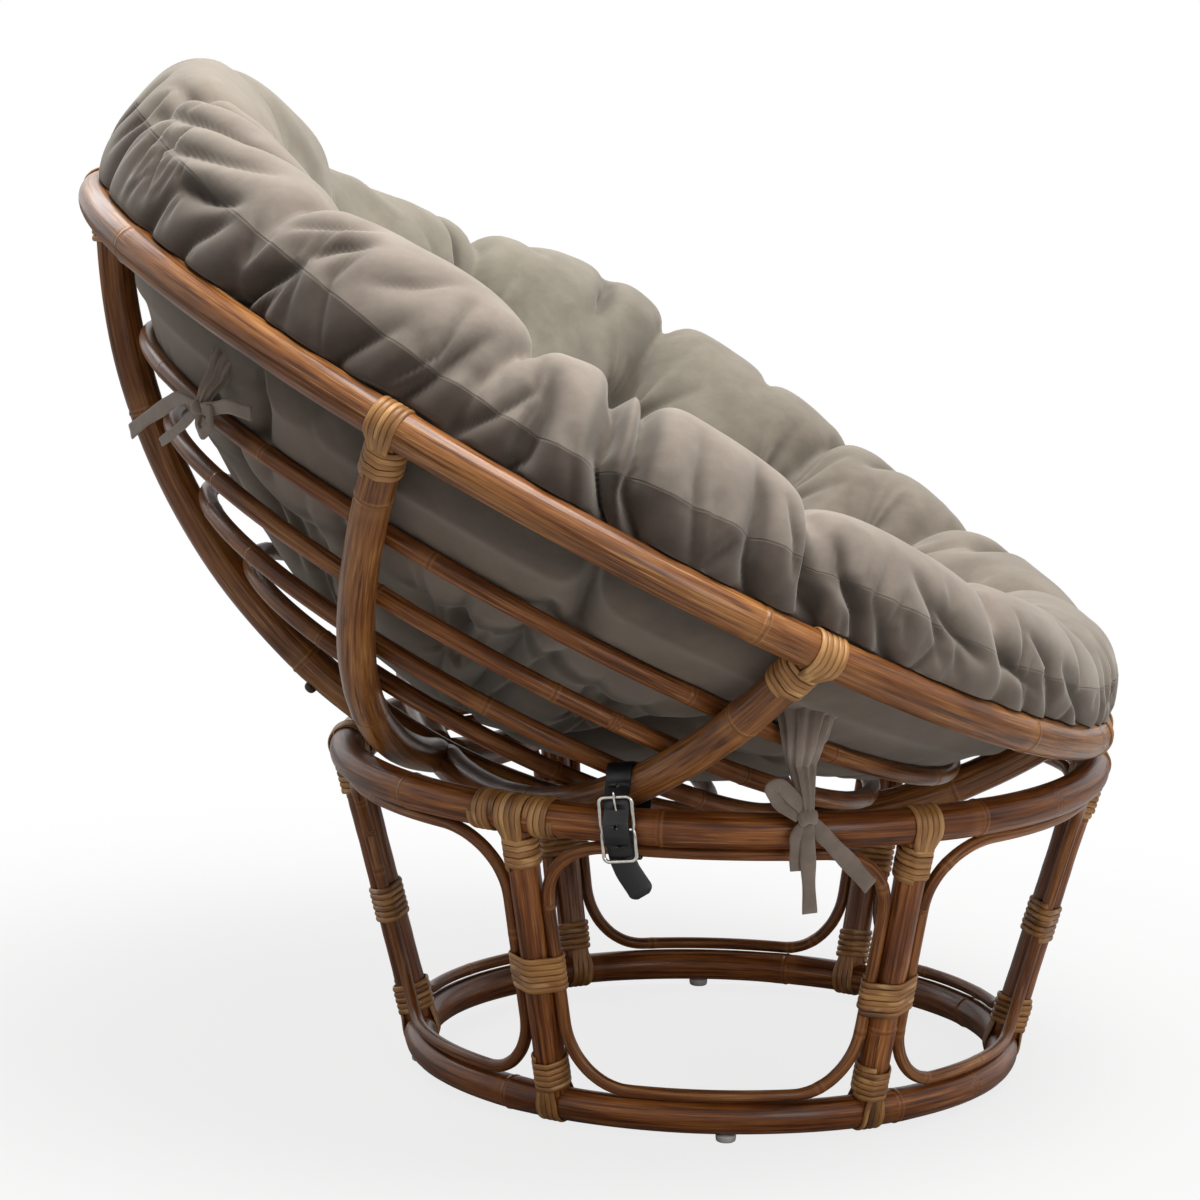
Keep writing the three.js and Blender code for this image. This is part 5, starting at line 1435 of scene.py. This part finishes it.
def cut_away(piece, cutters):
    tool = build("cutter", cutters, leather, "strap")
    modifier = piece.modifiers.new("holes", "BOOLEAN")
    modifier.operation = "DIFFERENCE"
    modifier.solver = "EXACT"
    modifier.use_self = True
    modifier.object = tool
    bpy.context.view_layer.update()
    shaped = bpy.data.meshes.new_from_object(piece.evaluated_get(bpy.context.evaluated_depsgraph_get()))
    piece.modifiers.clear()
    piece.data = shaped
    bpy.data.objects.remove(tool)


def strap_hole(height):
    outer = line[len(line) * 2 // 3:]
    k = int(np.argmin(np.abs(outer[:, 1] - height)))
    centre = in_strap(*outer[k])
    normal = out[len(line) * 2 // 3 + k]
    return rod_between(centre - normal * 2.6 * mm, centre + normal * 2.6 * mm, 1.9 * mm)


hole_heights, prong_hole = (38.4, 3.4, -14.1), 2.1 * mm
cutters = [strap_hole(h * mm) for h in hole_heights]
cutters.append(rod_between(in_strap(under - 4 * mm, buckle_rise * 0.66),
                           in_strap(over + 4 * mm, buckle_rise * 0.74), prong_hole))
slot_half = prong_radius + 0.45 * mm
slot_section = np.array([(-1, -1), (1, -1), (1, 1), (-1, 1)]) * (fold_radius + strap_thick)
cutters.append(sweep([in_strap(bar_x, 0, -slot_half), in_strap(bar_x, 0, slot_half)], [strap_x] * 2,
                     [strap_y] * 2, slot_section * 0.9))
cut_away(strap, cutters)
print("strap with holes:", len(strap.data.vertices), "vertices")

# %% [markdown]
# ## Buckle
# The buckle's frame is one bent wire with rounded corners, slightly pinched where the bar
# crosses it. The prong is a thinner wire that is curled round the bar and rests on the frame.

# %% Buckle frame and prong
buckle_half = 33 * mm / 2 - wire_radius
corner = 5 * mm
loop = []
for k, (sx, sy) in enumerate([(1, 1), (-1, 1), (-1, -1), (1, -1)]):
    tall = buckle_rise if sy > 0 else buckle_drop
    for i in range(9):
        turn = (k + i / 8) * math.pi / 2
        loop.append((sx * (buckle_half - corner) + corner * math.cos(turn),
                     sy * (tall - corner) + corner * math.sin(turn)))
    if k % 2 == 1:
        order = (1, 0, -1) if k == 1 else (-1, 0, 1)
        loop += [(sx * (buckle_half - (1 * mm if s == 0 else 0)), s * bar_radius * 3) for s in order]
loop = resample(loop, 120, True)
places = np.array([in_strap(bar_x, y, x) for x, y in loop])
across, out = frames_along(places, [strap_x] * len(places), True)
wire = sweep(places, across, out, disc(wire_radius, 14), True, 3.0)
bar_end = buckle_half - 1 * mm
bar = rod_between(in_strap(bar_x, 0, -bar_end), in_strap(bar_x, 0, bar_end), bar_radius, 14)
build("buckle_wire", [wire, bar], nickel, "strap", ["buckle_frame"])

eye_radius = bar_radius + 0.3 * mm + prong_radius
eye = [(bar_x + eye_radius * math.cos(math.radians(a)), eye_radius * math.sin(math.radians(a)))
       for a in range(-250, 91, 17)]
rest_x = bar_x + wire_radius + 0.45 * mm + prong_radius
eye += [(bar_x - bar_radius * 0.3, buckle_rise * 0.28), (bar_x - bar_radius * 1.2, buckle_rise * 0.5),
        (under + strap_thick * 2.5, buckle_rise * 0.845), (rest_x, buckle_rise),
        (rest_x, buckle_rise + 5.5 * mm)]
eye = smoothed(resample(eye, 70), 2)
places = np.array([in_strap(x, y) for x, y in eye])
across, out = frames_along(places, [strap_w] * len(places))
taper = np.ones(len(places))
taper[-5:] = [0.97, 0.92, 0.8, 0.6, 0.35]
prong = sweep(places, across, out, disc(prong_radius, 12)[None] * taper[:, None, None], seed=4.0)
build("prong_wire", [prong], nickel, "prong", ["buckle_prong"])
print("buckle: frame, bar and prong")

# %% [markdown]
# ## Ties
# Ties of the same velvet are sewn to the cushion and knotted round the frame. Each is a flat
# folded band, so it is drawn as a ribbon with thick rounded edges and a slight twist. Where it
# leaves the cushion the cover is gathered, which is a cone with folds along it.

# %% Tie helpers
tie_cloth = velvet_finish("tie_velvet", *[(paint(108, 95, 86), paint(156, 141, 130))] * 2)


def ribbon(spots, wide, thick, facing, seed, count=46, twist=0.0, smooth=6):
    places = smoothed(resample(np.array(spots), count), smooth)
    across, out = frames_along(places, facing(places))
    share = np.linspace(0, 1, count)
    lean = twist * np.sin(share * math.pi * 1.5 + seed)
    turned = across * np.cos(lean)[:, None] + out * np.sin(lean)[:, None]
    out = out * np.cos(lean)[:, None] - across * np.sin(lean)[:, None]
    base = np.array([(-1, 0), (-0.93, 0.7), (-0.6, 0.85), (0, 0.6), (0.6, 0.85), (0.93, 0.7), (1, 0),
                     (0.93, -0.7), (0.6, -0.85), (0, -0.6), (-0.6, -0.85), (-0.93, -0.7)])
    size = np.interp(share, [0, 0.25, 1], [0.62, 0.95, 1]) * (1 + 0.06 * np.sin(share * 13 + seed * 2))
    sections = base[None] * np.stack([wide / 2 * size, thick / 2 * (1.25 - 0.35 * size)], 1)[:, None]
    return sweep(places, turned, out, sections, seed=seed)


def gathered(spots, start_size, end_radius, facing, seed):
    places = resample(np.array(spots), 26)
    across, out = frames_along(places, facing(places))
    share = np.linspace(0, 1, 26)
    rays = np.linspace(0, 2 * math.pi, 72, endpoint=False)
    sections = []
    for s in share:
        wide = start_size[0] * (1 - s) ** 1.4 + end_radius
        deep = start_size[1] * (1 - s) ** 1.2 + end_radius
        folds = 1 + 0.16 * np.cos(rays * 9 + seed + s * 2) + 0.08 * np.cos(rays * 17 + seed * 3 - s * 3)
        sections.append(np.stack([np.cos(rays) * wide * folds, np.sin(rays) * deep * folds], 1))
    return sweep(places, across, out, np.array(sections), seed=seed)


def knot_wrap(centre, axis, radius, wide, seed):
    """One turn of the band round the knot."""
    axis = unit(np.asarray(axis))
    aside = unit(np.cross(axis, up))
    depth = np.cross(axis, aside)
    rays = np.linspace(0, 2 * math.pi, 40, endpoint=False)
    places = np.array([centre + aside * math.cos(a) * radius + depth * math.sin(a) * radius * 0.75
                       + axis * math.sin(a * 2 + seed) * 1.2 * mm for a in rays])
    facing = places - centre
    across, out = frames_along(places, facing, True)
    bulge = np.array([(-1, -0.5), (-0.9, 0.4), (-0.5, 0.9), (0, 1.0), (0.5, 0.9), (0.9, 0.4), (1, -0.5),
                      (0, -0.9)])
    return sweep(places, across, out, bulge * np.array([wide / 2, 2.4 * mm]), True, seed)


print("tie helpers ready")

# %% [markdown]
# The front tie hangs outside the top ring and the rear tie lies over the ribs. Their places are
# given as the solids' are: by angles, and by distances from the base's axis or the bowl's centre.

# %% Front and rear tie
def front_spot(angle, radius, height):
    return on_base(math.radians(angle), radius * mm, height * mm)


def rear_spot(angle, polar, radius):
    return in_bowl(math.radians(angle), math.radians(polar), radius * mm)


def outward_at(angle):
    return lambda places: [outward(math.radians(angle))] * len(places)


def from_bowl_centre(places):
    return places - arc_centre


knot = front_spot(78.4, 383.1, 320)
root = [rear_spot(56.2, 54.6, 548), rear_spot(56, 53.6, 572), rear_spot(54.2, 51.6, 580)]
front_parts = [
    gathered([rear_spot(56.2, 55.6, 538), *root, (root[2] + knot) / 2 + outward(1.37) * 3 * mm, knot],
             (21 * mm, 9 * mm), 5.5 * mm, outward_at(78), 1.0),
    knot_wrap(knot, knot - root[2], 7.5 * mm, 13 * mm, 0.4),
    ribbon([knot, front_spot(79.8, 387, 333), front_spot(82.4, 390, 351), front_spot(83.6, 389, 347),
            front_spot(82.2, 385, 333), front_spot(79.5, 383, 321)], 13 * mm, 3.6 * mm, outward_at(80), 2.0,
           60, smooth=3),
    ribbon([knot, front_spot(76.6, 386, 306), front_spot(73.1, 385, 282), front_spot(69.7, 386, 257)],
           16 * mm, 3.2 * mm, outward_at(74), 3.0, twist=0.25),
    ribbon([knot, front_spot(78.4, 386, 299), front_spot(78.1, 384, 268), front_spot(77.8, 385, 235)],
           14 * mm, 3.2 * mm, outward_at(78), 4.0, twist=0.3),
    ribbon([knot, front_spot(80, 384, 303), front_spot(79.8, 381, 285), front_spot(79.7, 381, 272)],
           11 * mm, 3.0 * mm, outward_at(80), 5.0),
]
build("tie_front", front_parts, tie_cloth, "bowl", ["cushion_tie_front"])

knot = rear_spot(136.6, 53.6, 576)
rear_parts = [
    gathered([rear_spot(136, 58.6, 541), rear_spot(136, 57.9, 552), rear_spot(135.8, 56.6, 560),
              rear_spot(136, 55.2, 571), knot], (15 * mm, 7 * mm), 5 * mm, from_bowl_centre, 6.0),
    knot_wrap(knot, knot - rear_spot(136, 57.9, 552), 7 * mm, 12 * mm, 1.4),
    ribbon([knot, rear_spot(140.5, 53.3, 579), rear_spot(147.5, 49.7, 578), rear_spot(153.5, 47.2, 584),
            rear_spot(159, 45.1, 594)], 14 * mm, 3.2 * mm, from_bowl_centre, 7.0, twist=0.2),
    ribbon([knot, rear_spot(138.4, 52.1, 577), rear_spot(141.5, 49.9, 579), rear_spot(149.9, 45.8, 580)],
           9 * mm, 4.5 * mm, from_bowl_centre, 8.0),
    ribbon([knot, rear_spot(135.2, 53.9, 580), rear_spot(130.7, 56, 578), rear_spot(127.2, 56.7, 577)],
           14 * mm, 3.2 * mm, from_bowl_centre, 9.0, twist=0.2),
    ribbon([knot, rear_spot(136, 52.2, 583), rear_spot(134.4, 51.9, 587), rear_spot(133, 53.4, 585),
            rear_spot(133.8, 55, 581)], 9 * mm, 4.5 * mm, from_bowl_centre, 10.0, smooth=2),
]
build("tie_rear", rear_parts, tie_cloth, "bowl", ["cushion_tie_rear"])
print("ties: front", len(front_parts), "parts, rear", len(rear_parts), "parts")

# %% [markdown]
# ## Glides and bumper
# Four plastic glides are nailed under the bottom ring, and a soft bumper under the back of the
# long pole keeps it off the ring when the bowl is tipped. Both are turned shapes with rounded
# edges, drawn as a stack of circles.

# %% Turned pieces
def turned(base, axis, profile, sides=28, seed=0.0):
    """profile is a list of (height, radius) along the axis."""
    axis = unit(np.asarray(axis))
    aside = unit(np.cross(axis, bowl_side if abs(axis @ bowl_side) < 0.9 else up))
    rings_of = np.array([disc(r, sides) for _, r in profile])
    at = [base + axis * h for h, _ in profile]
    return sweep(at, [aside] * len(at), [np.cross(axis, aside)] * len(at), rings_of, seed=seed)


for i, degrees in enumerate([87, 172, 267, 352]):
    foot = on_base(math.radians(degrees), bottom_ring_radius, 0)
    profile = [(0, 7.6), (0.5, 8.4), (1.4, 9.0), (4.6, 9.4), (5.6, 9.3), (6.2, 8.8)]
    part = turned(foot, up, [(h * mm, r * mm) for h, r in profile])
    build(f"glide_{i}", [part], plastic, "base", [f"base_glide_{i}"])

axis = bowl_radial(math.pi, math.radians(13.6))
skin = in_bowl(math.pi, math.radians(13.6), rib_arc + rib_radius - 0.4 * mm)
profile = [(0, 6.0), (2.2, 6.0), (4.0, 5.6), (5.4, 4.7), (6.4, 3.2), (6.9, 1.4)]
build("bumper", [turned(skin, axis, [(h * mm, r * mm) for h, r in profile])], rubber, "bowl",
      ["bowl_bumper"])
print("turned pieces: 4 glides and a bumper")

# %% [markdown]
# ## Floor, light and background
# The photograph has a plain white ground and soft light from above and in front. A large lamp
# overhead, weaker ones beside the camera and behind the chair, and an even sky do that. Camera,
# glossy and transmission rays see white, and the floor keeps the chair's shadow.

# %% Stage
scene = bpy.context.scene
scene.view_settings.view_transform = "Standard"
bench = Bench("sky", bpy.data.worlds)
rays = [bench.node("ShaderNodeLightPath", out=f"Is {kind} Ray")
        for kind in ("Camera", "Glossy", "Transmission")]
seen = bench.node("ShaderNodeBackground", None, {"Color": (1, 1, 1, 1), "Strength": 1.0})
felt = bench.node("ShaderNodeBackground", None, {"Color": (1, 0.99, 0.97, 1), "Strength": 0.28})
shows = bench.math("MAXIMUM", rays[0], bench.math("MAXIMUM", rays[1], rays[2]))
mixed = bench.node("ShaderNodeMixShader", None, {0: shows, 1: felt, 2: seen})
bench.node_output(mixed, "ShaderNodeOutputWorld")
scene.world = bench.material


def lamp(name, place, aim, size, power, colour=(1, 1, 1)):
    light = bpy.data.lights.new(name, "AREA")
    light.shape = "DISK"
    light.size = size
    light.energy = power
    light.color = colour
    made = bpy.data.objects.new(name, light)
    made.location = place
    made.rotation_euler = (Vector(aim) - Vector(place)).to_track_quat("-Z", "Y").to_euler()
    scene.collection.objects.link(made)


lamp("overhead", (-0.5, -0.5, 2.9), (0, 0, 0.5), 1.9, 88, (1, 0.985, 0.96))
lamp("beside_camera", (-3.0, -1.9, 1.6), (0, 0, 0.5), 1.4, 22)
lamp("behind", (1.6, 1.4, 2.2), (0, 0, 0.6), 1.6, 18)

bench = Bench("floor_paint")
ray = bench.node("ShaderNodeLightPath", out="Is Camera Ray")
place = bench.node("ShaderNodeTexCoord", out="Object")
from_chair = bench.node("ShaderNodeVectorMath", {"operation": "LENGTH"}, {0: place}, "Value")
white_share = bench.between(from_chair, 0.35, 1.3) * 0.2 + 0.8
matt = bench.node("ShaderNodeBsdfDiffuse", None, {"Color": (0.55, 0.55, 0.55, 1)})
glow = bench.node("ShaderNodeEmission", None, {"Color": (1, 1, 1, 1), "Strength": 1.0})
bench.node_output(bench.node("ShaderNodeMixShader", None, {0: ray * white_share, 1: matt, 2: glow}))
floor_mesh = bpy.data.meshes.new("floor")
reach = 14
floor_mesh.from_pydata([(-reach, -reach, 0), (reach, -reach, 0), (reach, reach, 0), (-reach, reach, 0)],
                       [], [(0, 1, 2, 3)])
floor_mesh.materials.append(bench.material)
floor = bpy.data.objects.new("floor", floor_mesh)
scene.collection.objects.link(floor)
print("stage: floor and 3 lamps")
